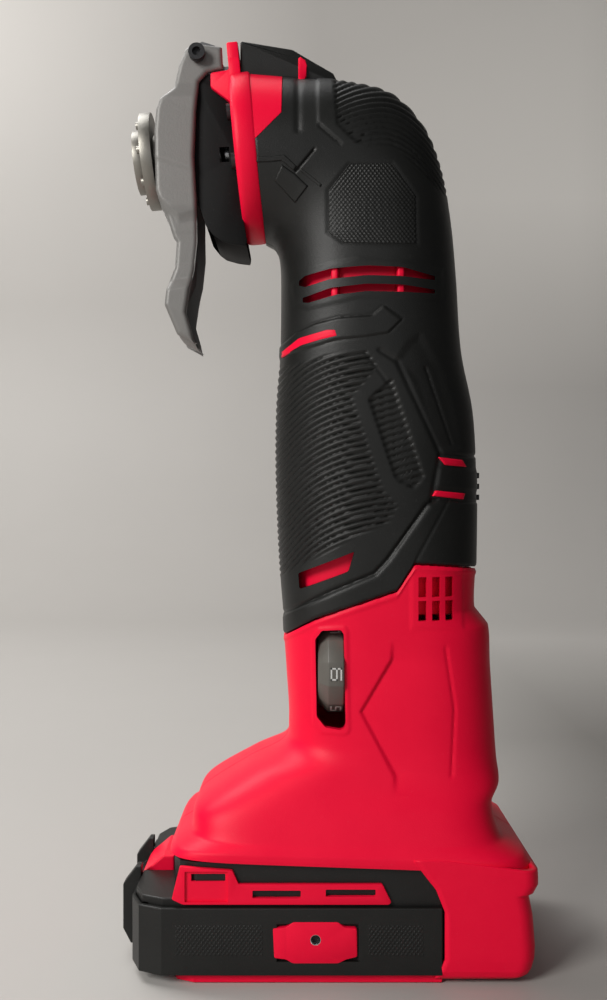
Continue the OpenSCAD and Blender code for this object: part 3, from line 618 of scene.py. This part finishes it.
def drawn_patch(name, edge_a, edge_b, cols, rows, lift, sign, mat, relief=plain, thick=1.2, crown=0.25):
    """A raised patch on the handle between two drawn lines, its brim lower by crown."""
    a, b = spread(np.array(edge_a, float), cols), spread(np.array(edge_b, float), cols)
    outer, inner = np.zeros((rows, cols, 3)), np.zeros((rows, cols, 3))
    for r in range(rows):
        t = r / (rows - 1)
        for c in range(cols):
            u, v = a[c] * (1 - t) + b[c] * t
            brim = r in (0, rows - 1) or c in (0, cols - 1)
            outer[r, c] = on_form(u, v, lift - (crown if brim else 0.0) + relief(u, v))
            inner[r, c] = on_form(u, v, lift - thick)
    skin_piece(name, sign, mat, (outer, inner))


CUT_DEPTH = -46.0


def drawn_cutter(outline, sign):
    """A cutter whose outline is the drawn one as the camera sees it."""
    pts = [(x, -sign * y, z) for y in (0.0, CUT_DEPTH) for x, z in at_depth(outline, y)]
    return cutter(pts, prism_faces(len(outline)))


VENTS = [
    ([(299, 281), (304, 276.3), (330.6, 268.3), (367, 265.4), (402, 266.7), (434.8, 276.3)],
     [(299, 285.5), (304, 287.3), (330.6, 278.8), (367, 275), (402, 275.9), (434.8, 280)]),
    ([(302.7, 298), (330.6, 287.7), (367, 283.6), (402, 284.3), (434.8, 289.7)],
     [(302.7, 302.5), (307.6, 303), (336.6, 294.5), (367, 290.9), (402, 291.6), (434.8, 293.3)])]
WINDOW = at_depth([(298, 575), (354.8, 551.7), (348.7, 572), (299.3, 591.5)], -29)
DIAL_EDGE = [(315.3, 640.8), (321.9, 631.6), (340.8, 630.1), (343.9, 634.7), (345.9, 725.5), (343.9, 729.6),
             (340.8, 731.1), (325.5, 729.6), (316.8, 719.4)]
DIAL_WINDOW = at_depth(DIAL_EDGE, -27.5)
SCREWS = [(27, 138), (-25.6, 206), (24.6, 215), (-45, 56.5), (33, 60), (32, 92)]


def vent_cutters(sign):
    """The two air slots through the rubber."""
    made = []
    for top, low in VENTS:
        us = np.linspace(top[0][0], top[-1][0], 24)
        upper = [(u, np.interp(u, *zip(*top))) for u in us]
        lower = [(u, np.interp(u, *zip(*low))) for u in us[::-1]]
        made.append(drawn_cutter(upper + lower, sign))
    return made


def window_cutters(sign, outlines):
    return [cutter(*prism(rounded(outline, radius), sign * 12, sign * 60)) for outline, radius in outlines]


def circle(x, z, radius, sides):
    return [(x + radius * math.cos(k * math.tau / sides), z + radius * math.sin(k * math.tau / sides))
            for k in range(sides)]


def round_cutter(x, z, radius, y0, y1):
    return cutter(*prism(circle(x, z, radius, 28), y0, y1))


SCREW_HOLE = 3.1  # radius of a sunk screw's hole, mm
SLOT_HALF = 7.2  # half the width of the switch's slot, mm
HEAD_RED = [(225, 40), (283, 40), (283, 68.5), (281.8, 112), (255, 138.8), (255, 189.7), (260, 245.4),
            (263, 268), (225, 268)]


def screw_cutters(sign):
    """The right half's screw holes."""
    return [round_cutter(x, z, SCREW_HOLE, 12, 60) for x, z in SCREWS] if sign > 0 else []


def switch_cutter(sign, x, z0, z1):
    """The slot of the switch's slider in one half."""
    return cutter(*prism([(x, z0), (60, z0), (60, z1), (x, z1)], -sign, sign * SLOT_HALF))


TOP = 21.0  # the last section, at the collar


def handle_half(side, sign):
    cols = 190
    w = np.linspace(0, 1, cols)

    grip = skin_piece("rubber_grip_" + side, sign, "grip",
                      handle_skin(edge_sections(w, 1.0), TOP, 480, cols, grip_relief, 1.9, lip=0.5),
                      ("grip_" + side,))
    holes = window_cutters(sign, [(WINDOW, 0.8)]) if sign < 0 else []
    carve(grip, holes + vent_cutters(sign) + screw_cutters(sign)
          + [drawn_cutter(HEAD_RED, sign), switch_cutter(sign, 28, 144, 176)], 44)

    red = skin_piece("red_body_" + side, sign, "red",
                     handle_skin(0.0, edge_sections(w, -1.0), 170, cols, red_relief, 2.4, lip=0.25),
                     ("housing_" + side,))
    slots = [([(x, z), (x + 2.7, z), (x + 2.7, z + 6.6), (x, z + 6.6)], 0.25)
             for x in (13.1, 17.7, 22.2) for z in (114.3, 122.1)]
    if sign < 0:
        slots.append((DIAL_WINDOW, 0.6))
    carve(red, window_cutters(sign, slots) + screw_cutters(sign), 40)

    # the ribs that cross the air slots
    for k, u in enumerate((330.1, 398.5)):
        for j, (top, low) in enumerate(VENTS):
            a, b = np.interp(u + 3.5, *zip(*top)) - 1.5, np.interp(u + 3.5, *zip(*low)) + 1.5
            drawn_patch("slot_rib_%d_%s" % (2 * k + j, side), [(u, a), (u, b)], [(u + 7, a), (u + 7, b)],
                        8, 6, -0.7, sign, "red", thick=3.4, crown=0.35)
    # the housing's wall under the grip, seen through the slots and windows
    core = skin_piece("red_core_" + side, sign, "red",
                      handle_skin(9.0, 20.6, 70, 60, plain, 2.3, offset=-3.8))
    carve(core, [switch_cutter(sign, 26, 146, 174)], 40)

    # the head's red cheek in front of the grip
    cheek = skin_piece("red_cheek_" + side, sign, "red",
                       handle_skin(17.5, TOP, 60, 90, plain, 2.0, offset=-0.25))
    rim = [(u + (0 if u < 230 else -0.7), v) for u, v in HEAD_RED]
    carve(cheek, [drawn_cutter(rim, sign)], 40, keep=True)


for half in SIDES:
    handle_half(*half)


def red_slab(name, outline, z0, z1):
    """A plan outline (x, y) of the foot drawn out along z, its edges rounded."""
    pts = [(x, y, z) for z in (z0, z1) for x, y in outline]
    settle(soften(piece(name, pts, prism_faces(len(outline)), "tool_body", "red"), 0.5), 40)


# ---- the heel behind the pack and the foot's rails
HEEL_Z = [1.6, 2.6, 4.4, 8, 12, 23.1, 30.2, 31.2, 34.2, 36.7, 39.6]
HEEL_BACK = [47.2, 48.2, 49, 49.8, 50, 49.2, 47.9, 49.6, 51, 51, 50.8]
HEEL_FRONT = [17.2, 17.4, 18.6, 20.4, 20.4, 20.4, 17.6, 16.9, 14.5, 12.6, 10.4]
HEEL_HALF = [36.6, 37.4, 37.9, 38.1, 38.1, 38.1, 38.1, 38.1, 38.1, 38.2, 38.2]


HEEL_LOW, HEEL_HIGH = 1.6, 39.6
HEEL_CORNER, HEEL_WALL = 5.5, 2.2


def heel_path(back, front, half, step):
    """The heel's outline at one level from its front to the middle plane, a step inside the surface."""
    h, e, r = half - step, back - step, HEEL_CORNER - step
    path = [(front + (e - r - front) * t, -h) for t in np.linspace(0, 1, 14)[:-1]]
    path += [(e - r + r * math.sin(t), -h + r - r * math.cos(t)) for t in np.linspace(0, math.pi / 2, 16)]
    return path + [(e, (-h + r) * (1 - t) - MID_GAP * t) for t in np.linspace(0, 1, 10)[1:]]


def heel(side, sign):
    levels = np.unique(np.concatenate([np.linspace(HEEL_LOW, HEEL_HIGH, 90), HEEL_Z]))
    grids = []
    for step in (0.0, HEEL_WALL):
        grid = []
        for z in levels:
            path = heel_path(*(np.interp(z, HEEL_Z, t) for t in (HEEL_BACK, HEEL_FRONT, HEEL_HALF)), step)
            rise = (z - HEEL_LOW) / (HEEL_HIGH - HEEL_LOW)
            grid.append([(x, y * -sign, HEEL_LOW + rise * (np.interp(x, (20, 51), (39.6, 35.6)) - HEEL_LOW))
                         for x, y in path])
        grids.append(np.array(grid))
    piece("red_heel_" + side, *shell(*grids), "tool_body", "red")
    # plan outlines of the inner walls and the roof, y outwards from the middle plane
    for name, z0, z1, outline in (
            ("heel_floor_", 1.7, 4.0, [(28.8, 0.08), (47, 0.08), (47, 28.48), (40, 35.6), (28.8, 35.6)]),
            ("heel_lid_", 33.4, 34.8, [(28.8, 0.08), (49.4, 0.08), (49.4, 32), (46, 35.8), (28.8, 36.4)]),
            ("heel_wall_", 3.6, 39.0, [(28.8, 0.08), (31.2, 0.08), (31.2, 35.6), (28.8, 35.6)]),
            ("rail_", 40.2, 43.9, [(-58, 19.6), (28.4, 19.6), (28.4, 34), (-50, 34), (-58, 28)]),
            ("foot_roof_", 50.1, 52.2, [(-58, 0.08), (33, 0.08), (33, 24), (27, 29), (-46, 27), (-58, 20)]),
            ("rail_wall_", 43.6, 50.6, [(-58, 22.7), (28.4, 22.7), (28.4, 30), (-52, 28)])):
        red_slab(name + side, [(x, sign * y) for x, y in outline], z0, z1)


for half in SIDES:
    heel(*half)

# ---- the head, placed along the spindle
TILT = math.radians(5.5)
SPINDLE_Z = 281.3


def head(points):
    """Points given along the spindle, in the tool's frame."""
    p = np.asarray(points, dtype=float)
    return np.stack([p[..., 0] * math.cos(TILT) - p[..., 2] * math.sin(TILT), p[..., 1],
                     SPINDLE_Z + p[..., 0] * math.sin(TILT) + p[..., 2] * math.cos(TILT)], -1)


def join(name, parts, body, mat, replaces=(), angle=38):
    """Several closed meshes (points, faces) as one piece."""
    pts, faces, base = [], [], 0
    for p, f in parts:
        p = np.asarray(p, dtype=float).reshape(-1, 3)
        pts.append(p)
        faces += [tuple(i + base for i in face) for face in f]
        base += len(p)
    return crisp(piece(name, np.concatenate(pts), faces, body, mat, replaces), angle)


def tubby(outline, y0, y1, edge=0.6, placed=head):
    """A side outline drawn out along y with its long edges broken."""
    o = np.array(outline, float)
    nxt, prv = np.roll(o, -1, 0), np.roll(o, 1, 0)
    t = nxt - prv
    t /= np.maximum(np.linalg.norm(t, axis=1, keepdims=True), 1e-9)
    area = np.sum(o[:, 0] * nxt[:, 1] - nxt[:, 0] * o[:, 1])
    n = np.stack([-t[:, 1], t[:, 0]], 1) * (1 if area > 0 else -1)
    s = 1 if y1 > y0 else -1
    levels = ((y0, edge), (y0 + s * edge * 0.35, edge * 0.35), (y0 + s * edge, 0.0), (y1 - s * edge, 0.0),
              (y1 - s * edge * 0.35, edge * 0.35), (y1, edge))
    rows = np.array([[(x, y, z) for x, z in o + n * d] for y, d in levels])
    return placed(rows).reshape(-1, 3), capped_faces(len(rows), len(o))


COLLAR_PROFILE = [(-41.0, 0.985), (-41.6, 1.0), (-45.9, 1.0), (-46.9, 0.994), (-47.6, 0.982), (-48.05, 0.965),
                  (-48.2, 0.94)]


def head_ring():
    """The collar with its tab and two cheeks."""
    t = np.linspace(0, math.tau, 120, endpoint=False)
    c, s_ = np.cos(t), np.sin(t)
    y = 30.2 * np.sign(c) * np.abs(c) ** (2 / 2.1)
    z = 28.7 * np.sign(s_) * np.abs(s_) ** (2 / 2.1)
    rows = [np.stack([np.full(120, x), y * k, z * k - 2.8], 1) for x, k in COLLAR_PROFILE]
    a = np.arctan2(rows[-1][:, 2], rows[-1][:, 1])
    for x, r in ((-48.2, 18.0), (-47.7, 16.7), (-41.2, 16.7)):
        rows.append(np.stack([np.full(120, x), r * np.cos(a), r * np.sin(a)], 1))
    parts = [(head(np.array(rows)).reshape(-1, 3), ring_faces(len(rows), 120))]
    tab = [(-47.8, 25.4), (-43.9, 25.4), (-43.9, 31.9), (-44.3, 32.4), (-47.4, 32.4), (-47.8, 31.9)]
    parts.append(tubby(tab, -16.6, 16.6, 0.3))
    hood = rounded([(-54.1, 22.6), (-54.5, 17.8), (-49.9, 13.6), (-47.6, 11.4), (-45, 11.7), (-43.9, 16),
                    (-43.9, 27), (-47.8, 27), (-47.8, 23.0)], 0.8)
    parts += [tubby(hood, sign * 16.7, sign * 14.5, 0.25) for sign in (-1, 1)]
    join("red_head_ring", parts, "tool_body", "red", ("head_collar",))


head_ring()

# ---- the lever: a cast channel
LEVER_PIN = (-60.42, 304.72)
LEVER_SCALE = 0.338  # mm in a drawing unit at the lever's side
LEVER_OUT = np.array([(-1.6, 4.5), (-4.2, 2.6), (-5.1, 0.3), (-6.4, -3), (-8.2, -10.8), (-12.8, -14.5), (-14, -18.2),
                      (-14.6, -25.7), (-14.2, -45.5), (-12.2, -52), (-10.7, -54), (-8.2, -61.7), (-7.2, -63.2),
                      (-7.8, -71.7), (-10.6, -79), (-11.2, -84.5), (-7, -94.5), (-1.1, -97.7)])
LEVER_IN = np.array([(-1.6, 4.5), (8.2, 3.3), (8.6, -4.3), (3.4, -5.3), (0.4, -8.7), (-0.6, -18.9), (-1.2, -34.1),
                     (-0.4, -49.3), (-0.2, -63.1), (-1.2, -72.7), (-2.7, -79), (-3.9, -87.2), (-2, -93.7),
                     (-1.1, -97.7)])
LEVER_SHAPE = [tuple(p) for p in (*LEVER_OUT, *LEVER_IN[-2:0:-1])]
LEVER_HALF, LEVER_INSIDE = 16.9, 14.6  # its side walls, from the middle plane


def lever_frame(points):
    """Points measured from the lever's pin, in the tool's frame."""
    return np.array(points, dtype=float) + (LEVER_PIN[0], 0, LEVER_PIN[1])


def lever_span(z):
    """The lever's front and back edge at heights from the pin."""
    return [np.interp(z, edge[np.argsort(edge[:, 1]), 1], edge[np.argsort(edge[:, 1]), 0])
            for edge in (LEVER_OUT, LEVER_IN)]


def lever_bulge(x, z):
    """How far the side wall swells (mm) at a place measured from the pin."""
    u = MID_U + (x + LEVER_PIN[0] - CAMERA[0]) / LEVER_SCALE
    v = MID_V - (z + LEVER_PIN[1] - CAMERA[2]) / LEVER_SCALE
    tilt = v - (u - 156) * 0.32
    h = np.interp(v, [40, 82, 96, 205, 232, 262, 281, 300, 345],
                  [-1.0, -0.9, 0.0, -0.25, -1.6, -1.7, -0.4, 0.1, -0.9])
    h = h + np.interp(tilt, [96, 156, 161, 200], [0, 0.75, 0.35, 0])
    step = (v - np.interp(u, [160, 178, 195, 200], [196, 213, 209, 209]))
    ease = np.clip(step / 10, 0, 1)
    h = np.where(step > 0, np.minimum(h, -1.5) * ease + h * (1 - ease), h)
    hook = v - np.interp(u, [164, 173, 192], [281, 279, 276])
    h = np.where(hook > 0, np.clip(-1.5 + hook * 0.16, -1.5, 0.1), h)
    low = v - np.interp(u, [164, 186], [303, 313])
    return np.where(low > 0, 0.1 - low * 0.045, h)


def lever_wall(sign):
    z = np.unique(np.concatenate([np.linspace(-97.6, 4.4, 210), np.linspace(-6, -3.6, 12)]))
    x0, x1 = lever_span(z)
    c = (1 - np.cos(np.linspace(0, math.pi, 40))) / 2
    x = x0[:, None] + (x1 - x0)[:, None] * c[None, :]
    zz = np.broadcast_to(z[:, None], x.shape)
    d = line_distance(x, zz, LEVER_SHAPE + LEVER_SHAPE[:1])
    r = 1.5
    round_off = r - np.sqrt(np.maximum(r * r - (r - np.minimum(d, r)) ** 2, 0))
    y = np.maximum(LEVER_HALF + lever_bulge(x, zz) - round_off * 0.9, LEVER_INSIDE + 0.15)
    outer = np.stack([x, sign * y, zz], -1)
    inner = np.stack([x, np.full(x.shape, sign * LEVER_INSIDE), zz], -1)
    pts, faces = shell(outer, inner)
    return lever_frame(pts), faces


def lever_front():
    z = np.linspace(-97.2, -6.9, 150)
    x0, x1 = lever_span(z)
    y = np.linspace(-1, 1, 41)
    half = np.interp(z, [-98, -94, -84, -79, -70, -60, -50, -20, -6],
                     [12.5, 14.0, 16.2, 15.6, 14.9, 15.0, 16.0, 16.4, 15.0])
    yy = half[:, None] * y[None, :]
    arch = 1.6 * np.abs(y) ** 4
    outer = np.stack([x0[:, None] + arch[None, :] + 0 * yy, yy, np.broadcast_to(z[:, None], yy.shape)], -1)
    inner = outer.copy()
    thick = np.minimum(2.5, (x1 - x0) * 0.6)
    inner[..., 0] = np.minimum(outer[..., 0] + thick[:, None], x1[:, None] - 0.1)
    pts, faces = shell(outer, inner)
    return lever_frame(pts), faces


front = piece("lever_front", *lever_front(), "lever", "lever")
bore = head([[(x, y, z) for y, z in circle(0, 0, 12, 64)] for x in (-100, -52)])
carve(front, [cutter(bore, capped_faces(2, 64))], 40)
pads = [tubby(circle(-10.8, -30.1, 1.6, 20), sign * 10, sign * 16, 0.3, lever_frame) for sign in (-1, 1)]
join("lever_casting", [lever_wall(-1), lever_wall(1)] + pads, "lever", "lever", ("clamp_lever",), 30)

# ---- the speed wheel
DIAL_Y, DIAL_Z = -13.4, 97.0
DIAL_RADIUS = 15.15
STROKES = {
    1: [[(0.5, 1), (0.5, 0)], [(0.25, 0.8), (0.5, 1)]],
    2: [[(0, 1), (1, 1), (1, 0.5), (0, 0.5), (0, 0), (1, 0)]],
    3: [[(0, 1), (1, 1), (1, 0), (0, 0)], [(0.2, 0.5), (1, 0.5)]],
    4: [[(0, 1), (0, 0.45), (1, 0.45)], [(0.75, 1), (0.75, 0)]],
    5: [[(1, 1), (0, 1), (0, 0.5), (1, 0.5), (1, 0), (0, 0)]],
    6: [[(1, 1), (0, 1), (0, 0), (1, 0), (1, 0.55), (0, 0.55)]],
}


def numeral(n):
    """Flat strokes of a squared numeral: across, up, in mm about its centre."""
    wide, tall, width = 3.6, 3.2, 0.5
    bars = []
    for line in STROKES[n]:
        for (a0, b0), (a1, b1) in zip(line[:-1], line[1:]):
            p = np.array([(a0 - 0.5) * wide, (b0 - 0.5) * tall])
            q = np.array([(a1 - 0.5) * wide, (b1 - 0.5) * tall])
            d = (q - p) / np.linalg.norm(q - p) * width / 2
            e = np.array([-d[1], d[0]])
            bars.append([p - d - e, q + d - e, q + d + e, p - d + e])
    return bars


def speed_wheel():
    """The twelve-sided wheel round its hub, and the numerals on every other flat."""
    turn = [math.radians(30 * k + 15) for k in range(12)]
    profile = [(-19.7, 9.5), (-19.7, 11.9), (-19.3, 12.4), (-16.3, DIAL_RADIUS), (-11.4, DIAL_RADIUS), (-11.0, 14.6),
               (-11.0, 9.5), (-11.6, 3.1), (-19.0, 3.1)]
    g = np.array([[(x, DIAL_Y - r * math.cos(a), DIAL_Z + r * math.sin(a)) for a in turn] for x, r in profile])
    wheel = join("speed_wheel", [(g.reshape(-1, 3), ring_faces(len(g), 12))], "dial", "dial", ("speed_dial",), 12)
    settle(soften(wheel, 0.22, 2, 10), 24)
    marks = []
    flat = DIAL_RADIUS * math.cos(math.radians(15))
    for n in range(1, 7):
        a = math.radians(-60 * (6 - n))
        out = np.array([0, -math.cos(a), math.sin(a)])
        across = np.array([0, -math.sin(a), -math.cos(a)])
        centre = np.array([-13.75, DIAL_Y, DIAL_Z]) + out * (flat + 0.02)
        for bar in numeral(n):
            pts = [centre + across * p[0] + np.array([1, 0, 0]) * p[1] for p in bar]
            pts += [p + out * 0.09 for p in pts]
            marks.append((np.array(pts), prism_faces(4)))
    join("wheel_numerals", marks, "dial", "white")


speed_wheel()

# ---- red accents, knurl and the nose's rubber
ACCENTS = [
    ("stripe", [(281.3, 352.7), (299.7, 337.4), (326.3, 329.2), (336.5, 329.2)],
     [(282.3, 357.8), (301.7, 346.5), (320, 340.8), (338.5, 336.3)]),
    ("upper_dash", [(438.5, 457.2), (462, 459.9)], [(444.7, 465), (466, 467)]),
    ("lower_dash", [(435.5, 490.5), (464.7, 493.5)], [(432.4, 496), (463, 499.3)])]


def knurl(u, v):
    """Small diamonds in drawing units."""
    a, b = (u + 0.8 * v) / 4.2, (u - 0.8 * v) / 4.2
    return 0.42 * min(1 - abs(2 * (a % 1) - 1), 1 - abs(2 * (b % 1) - 1))


CHEVRONS = [
    ("upper", [(256.5, 156.5), (270, 156.5), (284.5, 154.8), (297, 166.5)],
     [(256.5, 162), (270, 161.6), (281.6, 160.6), (294, 170.8)]),
    ("lower", [(282, 164.5), (295.5, 174), (308, 186)], [(274.4, 180.7), (285, 192), (295, 203)]),
    ("thin", [(299, 169.8), (320, 186.8)], [(301, 167.8), (322, 184.8)])]

for side, sign in SIDES:
    for name, edge_a, edge_b in CHEVRONS:
        drawn_patch("chevron_" + name + "_" + side, edge_a, edge_b, 40, 12, 0.45, sign, "grip", plain, 1.4, 0.3)
    for name, edge_a, edge_b in ACCENTS:
        drawn_patch("red_" + name + "_" + side, edge_a, edge_b, 26, 7, 0.5, sign, "red")
    fine = 1.0
    drawn_patch("knurl_patch_" + side, [(350, 163), (328.5, 190), (328.5, 232.5), (343.5, 243)],
                [(392.5, 162.8), (416, 195.5), (416.5, 232), (417, 243.8)], int(92 * fine), int(96 * fine),
                -0.2, sign, "grip", knurl, 1.0)


def as_is(points):
    return np.asarray(points, dtype=float)


NOSE = [(-46, 296.5), (-46, 309.6), (-45.4, 310.1), (-28.6, 307.3), (-27.8, 307), (-21.2, 303.1), (-14.4, 299.2),
        (-13, 296.5), (-13, 294.5)]
join("nose_rubber", [tubby(NOSE, -15.2, 15.2, 0.7, as_is)], "tool_body", "grip", ("nose_bumper",), 30)


def nose_dash(sign):
    """A red mark down the nose's side."""
    outline = [(298.3, 57), (300.5, 56), (305.5, 59.5), (307.1, 64.3), (306.4, 76.3), (303, 80.4), (300.4, 80.7),
               (298.3, 77.8)]
    rows = []
    for sink in (0.0, 0.25, 1.6):
        ring = []
        for u, v in outline:
            y = -15.25 - 0.28 * max(v - 68, 0)
            (x, z), = at_depth([(u, v)], y)
            ring.append((x, sign * -(y + sink), z))
        rows.append(ring)
    g = np.array(rows)
    centre = g[0].mean(axis=0)
    g[0] = centre + (g[0] - centre) * 0.86
    return g.reshape(-1, 3), capped_faces(3, len(outline))


join("nose_dashes", [nose_dash(-1), nose_dash(1)], "tool_body", "red")

# the dark skirt round the clamp's works, carrying the lamp; its sides also fill the gap between lever and collar, and
# its near-black finish there is partly painted shade
SKIRT = [(193, 78), (212.5, 74), (214, 87), (234, 99), (236, 150), (240, 200), (247, 240), (246, 246), (233, 244.3),
         (220.2, 240.6), (213.8, 235.8), (206, 226), (199, 205), (194, 180), (192, 130)]
outline = rounded(at_depth(SKIRT, -14.2), 0.5, 2)
parts = [tubby(outline, sign * 13.7, sign * 14.3, 0.15, as_is) for sign in (-1, 1)]
parts.append(tubby(at_depth([(246, 246), (233, 244.3), (220.2, 240.6), (213.8, 235.8), (217, 232), (226, 238),
                             (246, 243)], -14.2), -13.9, 13.9, 0.2, as_is))
skirt = join("lamp_skirt", parts, "tool_body", "black_and_painted_shade", ("led_housing",), 30)
lamp_hole = at_depth([(219.5, 147.5), (229, 147), (229.5, 162), (220, 162.5)], -14)
carve(skirt, [cutter(*prism(lamp_hole, -20, -10))], 30)

# ---- the pack's sides
def pack_inserts():
    """The red slotted inserts with their recess."""
    outline = at_depth([(179.6, 866.6), (232.4, 870.4), (238.6, 884), (382.4, 884), (391.3, 902), (389, 904.6),
                        (182.9, 904.6), (171.6, 899.3)], -37)
    sides = [tubby(rounded(outline, 0.4, 2), s * 35.6, s * 37.3, 0.15, as_is) for s in (-1, 1)]
    inserts = join("side_inserts", sides, "battery", "red", ("battery_inserts",), 30)
    cuts = []
    for (u0, u1, v0, v1), deep in (((184.6, 227.9, 871.5, 902), 36.5), ((190.9, 225.2, 874.4, 881.9), 30),
                                   ((252.5, 300.7, 890.3, 898), 30), ((325.7, 375.7, 889.3, 896.4), 30)):
        hole = at_depth([(u0, v0), (u1, v0), (u1, v1), (u0, v1)], -37)
        cuts += [cutter(*prism(rounded(hole, 0.3, 2), s * deep, s * 44)) for s in (-1, 1)]
    carve(inserts, cuts, 30)


pack_inserts()


def band_panels():
    """Knurled panels in the rubber band."""
    for side, sign in SIDES:
        for where, u0, u1 in (("front", 174.8, 263.2), ("rear", 367.7, 424)):
            (x0, z1), (x1, z0) = at_depth([(u0, 925.4), (u1, 957)], -38)
            cols, rows = int((x1 - x0) / 0.22), int((z1 - z0) / 0.22)
            x, z = np.meshgrid(np.linspace(x0, x1, cols), np.linspace(z0, z1, rows))
            a, b = (x + 0.75 * z) / 1.35, (x - 0.75 * z) / 1.35
            h = 0.36 * np.minimum(1 - np.abs(2 * (a % 1) - 1), 1 - np.abs(2 * (b % 1) - 1))
            edge = np.minimum(np.minimum(x - x0, x1 - x), np.minimum(z - z0, z1 - z))
            h = h * np.clip(edge / 0.3, 0, 1)
            outer = np.stack([x, sign * (37.93 + h), z], -1)
            inner = np.stack([x, np.full(x.shape, sign * 37.2), z], -1)
            piece("band_knurl_" + where + "_" + side, *shell(outer, inner), "battery", "grip")


def pack_plates():
    """The red plates with their eyelets."""
    outline = [(272.6, 928.2), (286, 927.4), (292.7, 922), (338.2, 922), (344.9, 927.4), (357, 928.2),
               (357.5, 956.9), (346.3, 959.6), (338.2, 963.6), (292.7, 963.6), (286, 959.6), (274, 958.2)]
    outline = rounded(at_depth(outline, -38), 0.7)
    (ex, ez), = at_depth([(315.5, 939.8)], -38)
    plates = join("pack_plates", [tubby(outline, s * 35.8, s * 38.3, 0.4, as_is) for s in (-1, 1)], "battery", "red",
                  ("battery_plates",), 30)
    carve(plates, [round_cutter(ex, ez, 1.7, -50, 50)], 30)
    profile = [(2.3, 38.1), (2.1, 38.3), (1.6, 38.25), (1.35, 37.9), (1.3, 36.4), (2.0, 36.4), (2.3, 37)]
    t = np.linspace(0, math.tau, 40, endpoint=False)
    rings = []
    for s in (-1, 1):
        g = np.array([[(ex + r * math.cos(a), s * y, ez + r * math.sin(a)) for a in t] for r, y in profile])
        rings.append((g.reshape(-1, 3), ring_faces(len(profile), 40)))
    join("plate_eyelets", rings, "battery", "ground")


band_panels()
pack_plates()

# ---- broken edges on the plain moulded nodes
for name, width in (("battery_bumper", 2.2), ("battery_shell", 1.5), ("battery_base", 0.7),
                    ("release_button", 0.6), ("lever_pin", 0.25), ("release_collar", 0.4), ("clamp_flange", 0.35),
                    ("blade_holder", 0.35), ("switch_slider", 0.4)):
    node = bpy.data.objects[name]
    node.modifiers.new("merge", "WELD").merge_threshold = 0.00001
    soften(node, width, 2, 35)

# ---- materials on the carried-over nodes
NODE_FINISH = {
    "red": "battery_base release_button",
    "grip": "battery_bumper",
    "black": "motor_end_bell cooling_fan switch_slider switch_module terminal_block battery_shell cell_holder",
    "casting": "gear_case",
    "ground": "spindle_bearing_front spindle_bearing_rear output_spindle spindle_fork motor_bearings"
              " armature_shaft eccentric_hub eccentric_bearing",
    "holder": "clamp_flange blade_holder",
    "spring": "clamp_spring lever_spring button_spring",
    "oxide": "gear_case_screws release_collar lever_pin",
    "screw": "housing_screws battery_screws",
    "lens": "led_lens",
    "board": "led_board control_board battery_board",
    "can": "motor_can",
    "ferrite": "motor_magnets",
    "brass": "brush_holders tool_terminals battery_contacts",
    "sheet": "lamination_stack",
    "copper": "commutator",
    "blue": "dial_potentiometer",
    "cell": "battery_cells"}
for finish, names in NODE_FINISH.items():
    for name in names.split():
        materials = bpy.data.objects[name].data.materials
        materials.clear()
        materials.append(MAT[finish])


# ---- stage
def stage_floor():
    """A floor that curves up into the backdrop, with a painted pool of light high on the right and a painted shadow
    at the back right.
    """
    f = Finish("studio_floor")
    tone = f.blend(f.noise(6.0, 5.0, 0.6), (0.45, 0.433, 0.414), (0.475, 0.457, 0.437))
    x, y, z = f.axes(f.place())
    # painted pool of light on the backdrop, high on the right
    tone = f.blend((x * 2.2).clip() * ((z - 0.35) * 3.0).clip(), tone, (0.78, 0.755, 0.72))
    # painted shadow on the floor to the right of the tool
    tone = f.blend(((x + 0.02) * 5.5).clip() * ((0.75 - y) * 2.2).clip() * 0.85, tone, (0.13, 0.122, 0.113))
    f.close(Base_Color=tone, Roughness=0.6)
    mesh = bpy.data.meshes.new("floor")
    bend = [(0.9 + 0.5 * math.sin(a), 0.5 - 0.5 * math.cos(a)) for a in np.linspace(0, math.pi / 2, 24)]
    profile = [(-2.2, 0.0)] + bend + [(1.4, 2.6)]
    pts = [(x, y, z - 0.0002) for y, z in profile for x in (-3.0, 3.0)]
    mesh.from_pydata(pts, [], [(2 * i, 2 * i + 1, 2 * i + 3, 2 * i + 2) for i in range(len(profile) - 1)])
    smoothed(mesh)
    mesh.materials.append(f.mat)
    linked("floor", mesh)


stage_floor()


def lamp(name, place, aim, size, power, tint=(1, 1, 1)):
    data = bpy.data.lights.new(name, "AREA")
    data.shape, data.size, data.size_y = "RECTANGLE", size[0], size[1]
    data.energy, data.color = power, tint
    obj = linked(name, data)
    obj.location = place
    obj.rotation_euler = (Vector(aim) - Vector(place)).to_track_quat("-Z", "Y").to_euler()


lamp("key", (-0.62, -0.62, 0.56), (0, 0, 0.15), (0.34, 0.40), 8.2, (1.0, 0.985, 0.955))
lamp("fill", (0.1, -1.2, 0.3), (0, 0, 0.15), (0.9, 0.9), 1.6, (0.97, 0.98, 1.0))
lamp("top", (-0.35, 0.25, 1.1), (0, 0, 0.2), (0.6, 0.6), 5.0)
lamp("back_wall", (-0.9, 0.5, 1.3), (-0.5, 1.4, 0.2), (0.6, 0.6), 16.0, (1.0, 0.985, 0.96))

world = bpy.data.worlds.new("studio")
bpy.context.scene.world = world
world.use_nodes = True
colour, strength = world.node_tree.nodes["Background"].inputs[:2]
colour.default_value = (0.80, 0.80, 0.80, 1)
strength.default_value = 0.085
bpy.context.scene.view_settings.view_transform = "Standard"

cam_data = bpy.data.cameras.new("camera")
cam_data.lens, cam_data.sensor_width, cam_data.sensor_fit = 36.0, 36.0, "AUTO"
cam_data.clip_start = 0.01
cam = linked("camera", cam_data)
cam.location = [c * MM for c in CAMERA]
cam.rotation_euler = (math.pi / 2, 0, 0)
bpy.context.scene.camera = cam
